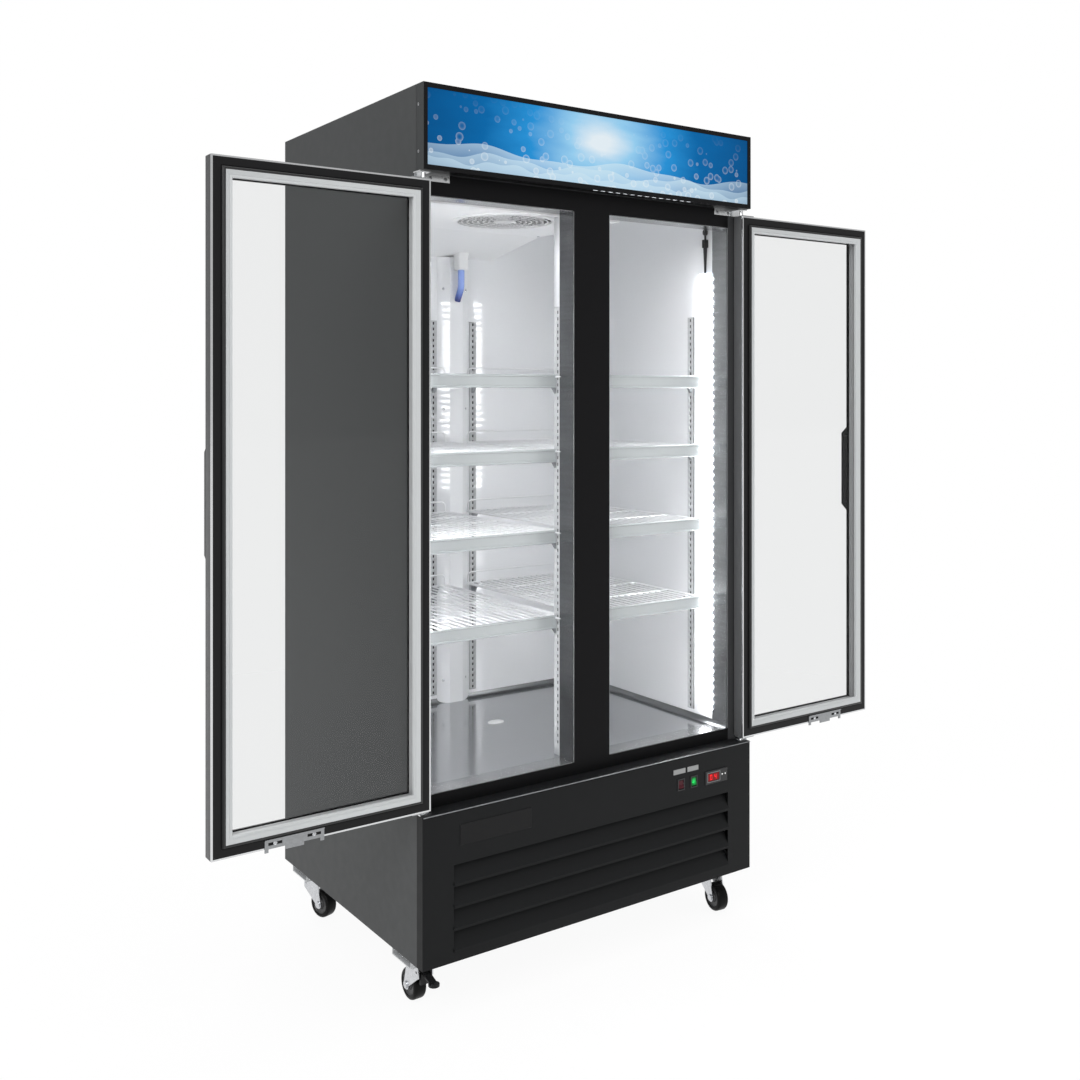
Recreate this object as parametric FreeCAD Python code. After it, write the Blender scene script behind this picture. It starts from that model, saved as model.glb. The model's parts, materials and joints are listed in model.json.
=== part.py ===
import FreeCAD, Part
import math
import os

V = FreeCAD.Vector
UP = V(0, 0, 1)

# Two-door glass display fridge on casters, in millimetres.
# X runs to the viewer's right, Y from the front to the back and Z up from the floor.
# Pieces are drawn with Y counted from the front plane and moved to the centre when saved.

# Case
cabinet_width = 1000.0
cabinet_depth = 770.0
cabinet_height = 1957.0
caster_height = 125.0
sheet = 1.2
back_flange = 15.0
liner = 1.5
back_insulation = 48.0
ceiling_insulation = 68.0

# Front of the case
front_wrap = 30.0
frame_setback = 46.0
frame_depth = 58.0
base_height = 339.0
sill_height = 30.0
header_height = 48.0
light_box_height = 192.0
jamb_width = 41.0
mullion_width = 110.0
breaker = 1.5
breaker_setback = 2.0

# Lit header
light_box_depth = 54.0
light_wall = 1.5
light_lip = 2.0
light_border = 11.0
light_overlap = 4.0
light_panel_thickness = 3.0
light_lamp_height = 16.0
light_lamp_depth = 8.0
light_lamp_margin = 60.0

# Base
tray_wall = 40.0
cover_setback = 4.0
cover_sheet = 1.5
cover_sill_lap = 14.0
louvre_count = 4
louvre_pitch = 49.5
louvre_bar = 6.0
louvre_bottom = 25.0
louvre_margin = 80.0
louvre_reach = 18.0
louvre_lip = 3.2
louvre_lip_height = 4.5
louvre_sheet = 2.0
vent_count = 6
vent_pitch = 30.0
vent_height = 10.0
vent_length = 300.0
vent_gap = 60.0
vent_bottom = 90.0

# Controls on the base cover
control_height = 268.0
cooling_switch_inset = 245.0
lamp_switch_inset = 201.0
switch_width = 18.0
switch_height = 24.0
switch_rim = 3.0
switch_rim_proud = 1.5
switch_barrel_wall = 1.0
switch_depth = 22.0
rocker_gap = 0.4
rocker_half_height = 9.8
rocker_pivot_depth = 2.8
rocker_rise = 4.3
rocker_dish = 1.6
rocker_tail = 6.0
rocker_tilt = 8.0
rocker_pin_radius = 1.5
rocker_pin_gap = 0.1
controller_inset = 123.0
controller_width = 77.0
controller_height = 34.5
controller_rim = 3.0
controller_proud = 2.5
controller_depth = 58.0
display_width = 40.0
display_height = 20.0
display_shift = 10.0
display_sink = 0.8

# Machine room
compressor_x = 270.0
compressor_back_gap = 267.6
compressor_radius = 80.0
compressor_can = 165.0
compressor_dome = 22.0
compressor_foot = 14.0
compressor_foot_radius = 14.0
compressor_foot_spread = 75.0
compressor_plate = 3.0
condenser_x = -120.0
condenser_width = 420.0
condenser_height = 250.0
condenser_front = 66.0
condenser_depth = 40.0
condenser_fin_count = 20
condenser_fin_gap = 6.0
condenser_fin_depth = 8.0
shroud_depth = 30.0
shroud_wall = 1.2
shroud_hole_radius = 105.0

# Fans
fan_tip_gap = 7.0
fan_hub_radius = 22.0
fan_hub_height = 20.0
fan_blade_count = 5
fan_blade_chord = 46.0
fan_blade_thickness = 2.0
fan_blade_pitch = 26.0
fan_shaft_radius = 4.0
fan_shaft_gap = 0.05
fan_end_gap = 8.0
motor_radius = 38.0
motor_length = 34.0
strap_width = 30.0
strap_sheet = 3.0

# Evaporator on the ceiling
cover_side_gap = 31.0
cover_right = 135.0
cover_drop = 5.0
cover_slope_length = 248.1
cover_slope_drop = 44.0
cover_wall = 1.2
cover_flange = 20.0
guard_x = -120.0
guard_y = 255.0
guard_radius = 135.0
guard_hole_radius = 120.0
guard_sheet = 4.0
guard_ring_count = 5
guard_ring_width = 4.0
guard_hub_radius = 24.0
guard_spoke_count = 4
guard_spoke_width = 6.0
coil_side_gap = 40.0
coil_back_gap = 68.1
coil_depth = 220.0
coil_height = 150.0
coil_fin_count = 18
coil_fin_gap = 8.0
coil_fin_depth = 12.0

# Drain
drain_x = 4.0
drain_front = 20.0
drain_block = 28.0
drain_block_height = 46.0
hose_radius = 9.5
hose_drop = 52.0
hose_fall = 36.0
hose_bend = 40.0
hose_hole_gap = 0.3

# Inside fittings
column_width = 108.0
column_nose = 44.0
column_depth = 21.0
column_wall = 1.5
pilaster_width = 22.0
pilaster_depth = 3.0
pilaster_bottom = 24.0
pilaster_length = 1089.0
pilaster_pitch = 50.0
slot_width = 5.0
slot_height = 22.0
rear_pilaster_x = 67.0
wall_pilaster_front = 190.0
wall_pilaster_back_gap = 98.1
post_inner = 36.0
post_width = 14.0
post_depth = 30.0
post_wall = 1.5

# Shelves, by height of the deck above the floor deck
shelf_one = 346.0
shelf_two = 558.0
shelf_three = 760.0
shelf_four = 946.0
shelf_deck = 5.0
shelf_wall_gap = 14.0
shelf_post_gap = 3.0
shelf_front = 126.0
shelf_back_gap = 18.0
shelf_border = 8.0
shelf_wire = 4.0
shelf_wire_pitch = 20.5
strip_height = 33.0
strip_thickness = 4.0
strip_rise = 3.0
guard_wire = 4.0
guard_rise = 31.0
guard_inset = 14.0
guard_corner = 10.0
clip_reach = 26.0
clip_drop = 40.0
clip_width = 10.0

# Lamps on the side walls
lamp_front = 108.0
lamp_width = 38.0
lamp_thickness = 12.0
lamp_bottom = 36.0
lamp_head_gap = 117.0
lamp_corner = 4.0
lead_radius = 2.5
lead_rise = 130.0
lead_bend = 9.0
lead_plug_width = 12.0
lead_plug_length = 22.0
lead_plug_rise = 70.0

# Doors
door_gap = 3.0
door_side_gap = 3.5
door_foot_gap = 10.0
door_head_gap = 20.0
door_front = 3.5
door_thickness = 35.5
door_member = 42.0
door_edge_round = 3.0
glass_edge = 30.0
glass_setback = 5.5
glass_pane = 4.0
glass_space = 16.0
spacer_width = 10.0
gasket_edge = 22.0
gasket_width = 15.0
gasket_gap = 0.3
gasket_round = 2.5
hinge_edge = 9.5
hinge_setback = 23.0
hinge_pin_radius = 5.0
hinge_pin_gap = 0.05
hinge_pin_depth = 14.0
hinge_plate = 3.0
hinge_plate_width = 30.0
hinge_flange = 14.0
hinge_flange_length = 92.0
hinge_washer_radius = 9.0
hinge_washer_gap = 0.3
hinge_cap = 3.0
hinge_cap_length = 44.0
hinge_cap_inset = 3.0
handle_edge = 8.0
handle_width = 22.0
handle_bottom = 571.0
handle_length = 260.0
handle_depth = 28.0
handle_bar = 12.0
handle_taper = 26.0
handle_foot = 34.0
lock_edge = 110.0
lock_length = 130.0
lock_height = 20.0
lock_sheet = 2.0
lock_tab = 40.0
lock_tab_drop = 7.0
lock_leg = 8.0
lock_lip = 3.0
lock_slot_length = 30.0
lock_slot_width = 6.0

# Casters
caster_side_inset = 50.0
caster_front_y = 105.0
caster_back_inset = 94.0
caster_bracket_height = 17.0
caster_bracket_width = 96.0
caster_bracket_length = 90.0
caster_bracket_wall = 2.5
caster_plate = 3.0
caster_plate_length = 76.0
caster_plate_width = 62.0
swivel_gap = 0.3
swivel_pin_radius = 6.0
swivel_pin_gap = 0.05
swivel_head_radius = 26.0
swivel_head_height = 9.0
fork_sheet = 3.0
fork_reach = 26.0
fork_eye = 11.0
fork_side_gap = 1.0
wheel_radius = 36.0
wheel_width = 32.0
wheel_tread_round = 6.0
wheel_dish = 4.0
wheel_hub_radius = 13.0
wheel_rim_radius = 26.0
wheel_trail = 30.0
axle_radius = 5.0
axle_gap = 0.05
axle_head_radius = 8.0
axle_head = 3.0
pedal_back = 18.0
pedal_below_head = 13.0
pedal_hub_radius = 6.0
pedal_pin_radius = 3.0
pedal_pin_gap = 0.05
pedal_width = 18.0
pedal_length = 46.0
pedal_fall = 14.0
pedal_thickness = 5.0
pedal_pad_radius = 13.0
pedal_shoe_drop = 32.0
pedal_shoe_width = 9.0
caster_angles = {"front_left": 90.0, "front_right": -98.0, "rear_left": -74.0, "rear_right": -70.0}
braked = ("front_left", "front_right")

# Pipes
pipe_radius = 5.0
pipe_bend = 25.0
pipe_wall_gap = 1.0

# Main planes
half_width = cabinet_width / 2
skin_half = half_width - sheet
room_half = half_width - jamb_width
mullion_half = mullion_width / 2
y_frame = frame_setback
y_room = frame_setback + frame_depth
y_skin = cabinet_depth - 2 * sheet
y_wall = y_skin - back_insulation - liner
y_light_back = front_wrap + light_box_depth
z_base = caster_height
z_deck = z_base + base_height
z_floor = z_deck + sill_height
z_top = z_base + cabinet_height
z_light = z_top - light_box_height
z_lintel = z_light - header_height
z_ceiling = z_top - sheet - ceiling_insulation - liner
z_cover = z_lintel - cover_drop
lamp_length = z_lintel - lamp_head_gap - z_floor - lamp_bottom
compressor_y = y_skin - compressor_back_gap
cover_flat_end = y_wall - cover_slope_length
cover_left = cover_side_gap - room_half
coil_right = cover_right - coil_side_gap
coil_front = y_wall - coil_back_gap - coil_depth
wall_pilaster_rear = y_wall - wall_pilaster_back_gap
caster_rear_y = cabinet_depth - caster_back_inset
switch_x = (half_width - cooling_switch_inset, half_width - lamp_switch_inset)
controller_x = half_width - controller_inset
shelf_levels = (shelf_one, shelf_two, shelf_three, shelf_four)
shelf_inner = post_inner + post_width + shelf_post_gap
shelf_outer = room_half - shelf_wall_gap
shelf_back = y_wall - shelf_back_gap


def box(x0, x1, y0, y1, z0, z1):
    return Part.makeBox(x1 - x0, y1 - y0, z1 - z0, V(x0, y0, z0))


def face(points):
    return Part.Face(Part.makePolygon(points + points[:1]))


def along_x(yz, x0, x1):
    return face([V(x0, y, z) for y, z in yz]).extrude(V(x1 - x0, 0, 0))


def along_y(xz, y0, y1):
    return face([V(x, y0, z) for x, z in xz]).extrude(V(0, y1 - y0, 0))


def along_z(xy, z0, z1):
    return face([V(x, y, z0) for x, y in xy]).extrude(V(0, 0, z1 - z0))


def rod(start, end, radius):
    span = end.sub(start)
    return Part.makeCylinder(radius, span.Length, start, span)


def fused(solids):
    return solids[0].multiFuse(solids[1:]).removeSplitter()


def mirrored(shape):
    return shape.mirror(V(0, 0, 0), V(1, 0, 0))


def both_sides(shape):
    return [shape, mirrored(shape)]


def frame_ring(x0, x1, z0, z1, y0, y1, width):
    outer = box(x0, x1, y0, y1, z0, z1)
    return outer.cut(box(x0 + width, x1 - width, y0, y1, z0 + width, z1 - width))


def edges_at_y(shape, y):
    return [e for e in shape.Edges if all(abs(v.Y - y) < 1e-6 for v in e.Vertexes)]


# A round tube along straight runs joined by tangent arcs of one bend radius
def tube(points, radius, bend):
    parts = []
    start = points[0]
    for corner, after in zip(points[1:-1], points[2:]):
        back = start.sub(corner).normalize()
        ahead = after.sub(corner).normalize()
        half_turn = back.getAngle(ahead) / 2
        tangent = bend / math.tan(half_turn)
        middle = back.add(ahead).normalize()
        first = corner.add(back.multiply(tangent))
        last = corner.add(ahead.multiply(tangent))
        deep = bend / math.sin(half_turn) - bend
        through = corner.add(middle.multiply(deep))
        parts.append(Part.LineSegment(start, first).toShape())
        parts.append(Part.Arc(first, through, last).toShape())
        start = last
    parts.append(Part.LineSegment(start, points[-1]).toShape())
    path = Part.Wire(parts)
    heading = points[1].sub(points[0])
    ring = Part.Wire(Part.makeCircle(radius, points[0], heading))
    return path.makePipeShell([ring], True, False)


def save(name, solids):
    shape = solids[0] if len(solids) == 1 else Part.makeCompound(solids)
    shape = shape.copy()
    shape.translate(V(0, -cabinet_depth / 2, 0))
    shape.exportStep("parts/" + name + ".step")
    print(name, len(solids), "solids", round(shape.Volume / 1000), "cm3", shape.isValid())


# Case skins
def side_panel():
    outline = [(front_wrap, z_base), (front_wrap, z_deck), (y_frame, z_deck), (y_frame, z_light)]
    outline += [(front_wrap, z_light), (front_wrap, z_top), (cabinet_depth, z_top), (cabinet_depth, z_base)]
    wall = along_x(outline, skin_half, half_width)
    flange = box(half_width - back_flange, skin_half, cabinet_depth - sheet, cabinet_depth, z_base, z_top)
    return fused([wall, flange])


def back_panel():
    panel = box(-skin_half, skin_half, y_skin, y_skin + sheet, z_base, z_top)
    vents = []
    for row in range(vent_count):
        low = z_base + vent_bottom + row * vent_pitch
        vents += both_sides(box(vent_gap / 2, vent_gap / 2 + vent_length, y_skin, y_skin + sheet, low, low + vent_height))
    return panel.cut(Part.makeCompound(vents))


def top_panel():
    return box(-skin_half, skin_half, front_wrap, y_skin, z_top - sheet, z_top)


def suction_route():
    rear = y_skin - pipe_radius - 2 * pipe_wall_gap
    x = compressor_x
    low = z_base + sheet + compressor_foot + compressor_can / 2
    high = z_ceiling - coil_height / 2
    inner = coil_front + coil_depth
    shell = compressor_y + compressor_radius
    joint = coil_right - pipe_bend
    return [V(x, shell, low), V(x, rear, low), V(x, rear, high), V(joint, rear, high), V(joint, inner, high)]


def pipe_channel():
    return tube(suction_route(), pipe_radius + pipe_wall_gap, pipe_bend)


def foam_insulation():
    wall = z_top - sheet
    outer = room_half + liner
    sides = both_sides(box(outer, skin_half, y_room, y_skin, z_deck, wall))
    back = box(-outer, outer, y_wall + liner, y_skin, z_deck, wall).cut(pipe_channel())
    ceiling = box(-outer, outer, y_room + liner, y_wall + liner, z_ceiling + liner, wall)
    floor = box(-outer, outer, y_room, y_wall + liner, z_deck, z_floor - liner)
    front = box(-outer, outer, y_light_back, y_room, z_light, wall)
    return sides + [back, ceiling, floor, front]


def liner_panels():
    outer = room_half + liner
    sides = both_sides(box(room_half, outer, y_room + liner, y_wall, z_floor, z_ceiling))
    back = box(-outer, outer, y_wall, y_wall + liner, z_floor, z_ceiling).cut(pipe_channel())
    ceiling = box(-outer, outer, y_room + liner, y_wall + liner, z_ceiling, z_ceiling + liner)
    front = box(-outer, outer, y_room, y_room + liner, z_lintel, z_ceiling + liner)
    return sides + [back, ceiling, front]


def floor_deck():
    return box(-room_half - liner, room_half + liner, y_room, y_wall + liner, z_floor - liner, z_floor)


# Frame round the two openings, and the strips that line it
def front_frame():
    header = box(-skin_half, skin_half, y_frame, y_room, z_lintel, z_light)
    sill = box(-skin_half, skin_half, y_frame, y_room, z_deck, z_floor)
    jambs = both_sides(box(room_half, skin_half, y_frame, y_room, z_floor, z_lintel))
    mullion = box(-mullion_half, mullion_half, y_frame, y_room, z_floor, z_lintel)
    return [header, sill, mullion] + jambs


def breaker_strips():
    near = y_frame + breaker_setback
    left = mullion_half
    right = room_half
    strips = [box(left, left + breaker, near, y_room, z_floor, z_lintel),
              box(right - breaker, right, near, y_room, z_floor, z_lintel),
              box(left + breaker, right - breaker, near, y_room, z_floor, z_floor + breaker),
              box(left + breaker, right - breaker, near, y_room, z_lintel - breaker, z_lintel)]
    return strips + [mirrored(s) for s in strips]


# Lit header
def light_box_housing():
    outer = box(-skin_half, skin_half, front_wrap, y_light_back, z_light, z_top - sheet)
    inner = box(-skin_half + light_wall, skin_half - light_wall, front_wrap, y_light_back - light_wall,
                z_light + light_wall, z_top - sheet - light_wall)
    return outer.cut(inner)


def light_box_frame():
    outer = box(-half_width, half_width, 0, front_wrap, z_light, z_top)
    inner = box(-half_width + light_wall, half_width - light_wall, light_lip, front_wrap,
                z_light + light_wall, z_top - light_wall)
    window = box(-half_width + light_border, half_width - light_border, 0, light_lip,
                 z_light + light_border, z_top - light_border)
    return outer.cut(inner).cut(window)


def light_box_panel():
    border = light_border - light_overlap
    return box(-half_width + border, half_width - border, light_lip, light_lip + light_panel_thickness,
               z_light + border, z_top - border)


def lamp_bar(x):
    bar = box(x - lamp_thickness, x, lamp_front, lamp_front + lamp_width,
              z_floor + lamp_bottom, z_floor + lamp_bottom + lamp_length)
    edges = [e for e in bar.Edges if all(abs(v.X - x + lamp_thickness) < 1e-6 for v in e.Vertexes)]
    return bar.makeFillet(lamp_corner, edges)


def led_lamps():
    half = half_width - light_lamp_margin
    middle = (z_light + z_top) / 2
    back = y_light_back - light_wall
    header_lamp = box(-half, half, back - light_lamp_depth, back,
                      middle - light_lamp_height / 2, middle + light_lamp_height / 2)
    return both_sides(lamp_bar(room_half)) + [header_lamp]


def lamp_leads():
    x = room_half - lamp_thickness / 2
    y = lamp_front + lamp_width / 2
    foot = z_floor + lamp_bottom + lamp_length
    head = foot + lead_rise
    lead = tube([V(x, y, foot), V(x, y, head), V(x, y_room + liner, head)], lead_radius, lead_bend)
    half = lead_plug_width / 2
    low = foot + lead_plug_rise
    plug = box(x - half, x + half, y - half, y + half, low, low + lead_plug_length)
    return both_sides(fused([lead, plug]))


# Base
def base_tray():
    outer = box(-skin_half, skin_half, front_wrap, y_skin, z_base, z_base + tray_wall)
    inner = box(-skin_half + sheet, skin_half - sheet, front_wrap + sheet, y_skin - sheet,
                z_base + sheet, z_base + tray_wall)
    deck = box(-skin_half, skin_half, y_frame + cover_sill_lap, y_skin, z_deck - sheet, z_deck)
    return [outer.cut(inner), deck.cut(pipe_channel())]


def louvre_blade(low, half):
    front = cover_setback - louvre_lip
    back = cover_setback + louvre_reach
    high = low + louvre_pitch - louvre_bar - louvre_sheet
    lip_low = low + louvre_sheet - louvre_lip_height
    profile = [(front, lip_low), (front, lip_low + louvre_lip_height), (back, high), (back, high - louvre_sheet)]
    profile += [(cover_setback, lip_low + louvre_sheet), (cover_setback, lip_low)]
    return along_x(profile, -half, half)


def switch_hole_half():
    return switch_width / 2 + switch_barrel_wall, switch_height / 2 + switch_barrel_wall


def base_cover():
    near = cover_setback
    inside = near + cover_sheet
    half = half_width - louvre_margin
    shell = [box(-half_width, half_width, near, inside, z_base, z_deck)]
    shell += both_sides(box(half_width - cover_sheet, half_width, inside, front_wrap, z_base, z_deck))
    shell.append(box(-half_width, half_width, inside, front_wrap, z_base, z_base + cover_sheet))
    shell.append(box(-half_width, half_width, inside, front_wrap, z_deck - cover_sheet, z_deck))
    shell.append(box(-skin_half, skin_half, front_wrap, y_frame + cover_sill_lap, z_deck - cover_sheet, z_deck))
    holes = []
    blades = []
    for row in range(louvre_count):
        low = z_base + louvre_bottom + row * louvre_pitch
        holes.append(box(-half, half, near, inside, low, low + louvre_pitch - louvre_bar))
        blades.append(louvre_blade(low, half))
    middle = z_base + control_height
    wide, tall = switch_hole_half()
    for x in switch_x:
        holes.append(box(x - wide, x + wide, near, inside, middle - tall, middle + tall))
    wide = controller_width / 2 - controller_rim
    tall = controller_height / 2 - controller_rim
    holes.append(box(controller_x - wide, controller_x + wide, near, inside, middle - tall, middle + tall))
    plate = fused(shell).cut(Part.makeCompound(holes))
    return fused([plate] + blades)


def switch_surround(x):
    middle = z_base + control_height
    wide, tall = switch_hole_half()
    near = cover_setback - switch_rim_proud
    rim = switch_rim - switch_barrel_wall
    flange = box(x - wide - rim, x + wide + rim, near, cover_setback, middle - tall - rim, middle + tall + rim)
    barrel = box(x - wide, x + wide, cover_setback, cover_setback + switch_depth, middle - tall, middle + tall)
    inner = box(x - switch_width / 2, x + switch_width / 2, near, cover_setback + switch_depth - switch_barrel_wall,
                middle - switch_height / 2, middle + switch_height / 2)
    y = cover_setback + rocker_pivot_depth
    pin = rod(V(x - wide, y, middle), V(x + wide, y, middle), rocker_pin_radius + rocker_pin_gap)
    return fused([flange, barrel]).cut(inner).cut(pin)


def controller():
    middle = z_base + control_height
    near = cover_setback - controller_proud
    wide = controller_width / 2
    tall = controller_height / 2
    rim = box(controller_x - wide, controller_x + wide, near, cover_setback, middle - tall, middle + tall)
    rim = rim.makeFillet(controller_proud / 2, edges_at_y(rim, near))
    wide -= controller_rim
    tall -= controller_rim
    case = box(controller_x - wide, controller_x + wide, cover_setback, cover_setback + controller_depth,
               middle - tall, middle + tall)
    x = controller_x - display_shift
    window = box(x - display_width / 2, x + display_width / 2, near, near + display_sink,
                 middle - display_height / 2, middle + display_height / 2)
    return fused([rim, case]).cut(window)


def rocker(x):
    middle = z_base + control_height
    pivot = V(x, cover_setback + rocker_pivot_depth, middle)
    half = switch_width / 2 - rocker_gap
    top = pivot.y - rocker_rise
    tail = pivot.y + rocker_tail
    tall = rocker_half_height
    profile = [(top, -tall), (top + rocker_dish, 0), (top, tall), (pivot.y, tall), (tail, tall / 2)]
    profile += [(tail, -tall / 2), (pivot.y, -tall)]
    body = along_x([(y, middle + z) for y, z in profile], x - half, x + half)
    reach = switch_hole_half()[0]
    pin = rod(V(x - reach, pivot.y, middle), V(x + reach, pivot.y, middle), rocker_pin_radius)
    solid = fused([body, pin])
    solid.rotate(pivot, V(1, 0, 0), -rocker_tilt)
    return solid


# Machine room
def compressor():
    foot = z_base + sheet
    low = foot + compressor_foot
    centre = V(compressor_x, compressor_y, low)
    spread = compressor_foot_spread
    edge = spread + compressor_foot_radius
    plate = box(compressor_x - edge, compressor_x + edge, compressor_y - edge, compressor_y + edge,
                low, low + compressor_plate)
    can = Part.makeCylinder(compressor_radius, compressor_can, centre)
    can = can.makeFillet(compressor_dome, [can.Edges[0]])
    feet = []
    for dx in (-spread, spread):
        for dy in (-spread, spread):
            at = V(compressor_x + dx, compressor_y + dy, foot)
            feet.append(Part.makeCylinder(compressor_foot_radius, compressor_foot, at))
    return fused([plate, can] + feet)


def finned_block(x0, x1, y0, y1, z0, z1, count, gap, depth):
    block = box(x0, x1, y0, y1, z0, z1)
    pitch = (x1 - x0) / (count + 1)
    cuts = []
    for index in range(count):
        x = x0 + (index + 1) * pitch
        cuts.append(box(x - gap / 2, x + gap / 2, y0, y0 + depth, z0, z1))
    return block.cut(Part.makeCompound(cuts))


def condenser():
    low = z_base + sheet
    x0 = condenser_x - condenser_width / 2
    return finned_block(x0, x0 + condenser_width, condenser_front, condenser_front + condenser_depth,
                        low, low + condenser_height, condenser_fin_count, condenser_fin_gap, condenser_fin_depth)


def shroud_centre():
    y = condenser_front + condenser_depth + shroud_depth - fan_hub_height / 2 - shroud_wall
    return V(condenser_x, y, z_base + sheet + condenser_height / 2)


def fan_shroud():
    near = condenser_front + condenser_depth
    far = near + shroud_depth
    low = z_base + sheet
    x0 = condenser_x - condenser_width / 2
    x1 = condenser_x + condenser_width / 2
    outer = box(x0, x1, near, far, low, low + condenser_height)
    wall = shroud_wall
    inner = box(x0 + wall, x1 - wall, near, far - wall, low + wall, low + condenser_height - wall)
    centre = shroud_centre()
    hole = Part.makeCylinder(shroud_hole_radius, shroud_depth, V(centre.x, near, centre.z), V(0, 1, 0))
    return outer.cut(inner).cut(hole)


# A bladed wheel about the origin, turning on Z, with its shaft going up
def fan_wheel(tip):
    half = fan_hub_height / 2
    hub = Part.makeCylinder(fan_hub_radius, fan_hub_height, V(0, 0, -half))
    solids = [hub]
    for index in range(fan_blade_count):
        inner = fan_hub_radius / 2
        blade = box(inner, tip, -fan_blade_chord / 2, fan_blade_chord / 2,
                    -fan_blade_thickness / 2, fan_blade_thickness / 2)
        blade.rotate(V(0, 0, 0), V(1, 0, 0), fan_blade_pitch)
        blade.rotate(V(0, 0, 0), UP, index * 360.0 / fan_blade_count)
        solids.append(blade)
    wheel = fused(solids)
    rim = Part.makeCylinder(tip, 2 * fan_blade_chord, V(0, 0, -fan_blade_chord))
    bore = Part.makeCylinder(fan_shaft_radius + fan_shaft_gap, fan_blade_chord, V(0, 0, -fan_blade_chord / 2))
    return wheel.common(rim).cut(bore)


def motor_start():
    return fan_hub_height / 2 + fan_end_gap


def motor():
    start = motor_start()
    can = Part.makeCylinder(motor_radius, motor_length, V(0, 0, start))
    shaft = Part.makeCylinder(fan_shaft_radius, start + fan_hub_height / 2, V(0, 0, -fan_hub_height / 2))
    return fused([can, shaft])


def placed_back(shape, centre):
    turned = shape.copy()
    turned.rotate(V(0, 0, 0), V(1, 0, 0), -90)
    turned.translate(centre)
    return turned


def condenser_fan():
    return placed_back(fan_wheel(shroud_hole_radius - fan_tip_gap), shroud_centre())


def condenser_motor():
    centre = shroud_centre()
    back = centre.y + motor_start() + motor_length
    low = z_base + sheet
    strap = box(centre.x - strap_width / 2, centre.x + strap_width / 2, back, back + strap_sheet,
                low, centre.z + motor_radius)
    return fused([placed_back(motor(), centre), strap])


def evaporator_fan_centre():
    return V(guard_x, guard_y, z_cover + cover_wall + fan_blade_chord / 2)


def evaporator_fan():
    wheel = fan_wheel(guard_hole_radius - fan_tip_gap)
    wheel.translate(evaporator_fan_centre())
    return wheel


def evaporator_motor():
    centre = evaporator_fan_centre()
    body = motor()
    body.translate(centre)
    top = centre.z + motor_start() + motor_length
    reach = guard_radius
    depth = strap_width / 2
    strap = box(centre.x - reach, centre.x + reach, centre.y - depth, centre.y + depth, top, top + strap_sheet)
    legs = []
    for x in (centre.x - reach, centre.x + reach - strap_sheet):
        legs.append(box(x, x + strap_sheet, centre.y - depth, centre.y + depth, z_cover + cover_wall, top))
    return fused([body, strap] + legs)


# Evaporator on the ceiling
def cover_slope():
    return cover_slope_drop / cover_slope_length


def evaporator_cover():
    near = y_room + liner
    low = z_cover - cover_slope_drop
    wall = cover_wall
    outline = [(near, z_cover + cover_flange), (near, z_cover), (cover_flat_end, z_cover), (y_wall, low)]
    outline += [(y_wall, low + wall), (cover_flat_end, z_cover + wall), (near + wall, z_cover + wall)]
    outline.append((near + wall, z_cover + cover_flange))
    pan = along_x(outline, cover_left, cover_right)
    side = [(near, z_cover), (cover_flat_end, z_cover), (y_wall, low), (y_wall, z_ceiling), (near, z_ceiling)]
    ends = [along_x(side, cover_left, cover_left + wall), along_x(side, cover_right - wall, cover_right)]
    hole = Part.makeCylinder(guard_hole_radius, cover_flange, V(guard_x, guard_y, z_cover - wall))
    return fused([pan] + ends).cut(hole)


def fan_guard():
    low = z_cover - guard_sheet
    plate = Part.makeCylinder(guard_radius, guard_sheet, V(guard_x, guard_y, low))
    gap = (guard_hole_radius - guard_hub_radius) / guard_ring_count - guard_ring_width
    slots = []
    for index in range(guard_ring_count):
        inner = guard_hub_radius + index * (gap + guard_ring_width)
        ring = Part.makeCylinder(inner + gap, guard_sheet, V(guard_x, guard_y, low))
        slots.append(ring.cut(Part.makeCylinder(inner, guard_sheet, V(guard_x, guard_y, low))))
    spokes = []
    for index in range(guard_spoke_count):
        spoke = box(0, guard_hole_radius, -guard_spoke_width / 2, guard_spoke_width / 2, 0, guard_sheet)
        spoke.rotate(V(0, 0, 0), UP, 45 + index * 360.0 / guard_spoke_count)
        spoke.translate(V(guard_x, guard_y, low))
        spokes.append(spoke)
    return plate.cut(Part.makeCompound(slots).cut(Part.makeCompound(spokes)))


def evaporator():
    return finned_block(cover_left + coil_side_gap, coil_right, coil_front, coil_front + coil_depth,
                        z_ceiling - coil_height, z_ceiling, coil_fin_count, coil_fin_gap, coil_fin_depth)


# Drain block under the cover, and its hose into the centre column
def drain_place():
    y = y_wall - column_depth - drain_front
    under = z_cover - (y - cover_flat_end) * cover_slope()
    return y, under - drain_block_height


def drain_fitting():
    y, low = drain_place()
    half = drain_block / 2
    block = box(drain_x - half, drain_x + half, y - half, y + half, low, z_cover)
    above = [(cover_flat_end, z_cover), (y_wall, z_cover - cover_slope_drop), (y_wall, z_top), (cover_flat_end, z_top)]
    return block.cut(along_x(above, drain_x - drain_block, drain_x + drain_block))


def hose(radius):
    y, low = drain_place()
    end_y = y_wall - column_depth + column_wall
    turn = low - hose_drop
    return tube([V(drain_x, y, low), V(drain_x, y, turn), V(drain_x, end_y, turn - hose_fall)], radius, hose_bend)


# Inside fittings
def centre_column():
    half = column_width / 2
    nose = column_nose / 2
    front = y_wall - column_depth
    top = z_cover - cover_slope_drop
    run = (half - nose) / column_depth
    skew = column_wall * math.sqrt(1 + run * run)
    hollow = nose + run * column_wall - skew
    outer = along_z([(-half, y_wall), (-nose, front), (nose, front), (half, y_wall)], z_floor, top)
    inside = [(-half + skew, y_wall), (-hollow, front + column_wall), (hollow, front + column_wall), (half - skew, y_wall)]
    return outer.cut(along_z(inside, z_floor, top)).cut(hose(hose_radius + hose_hole_gap))


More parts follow.
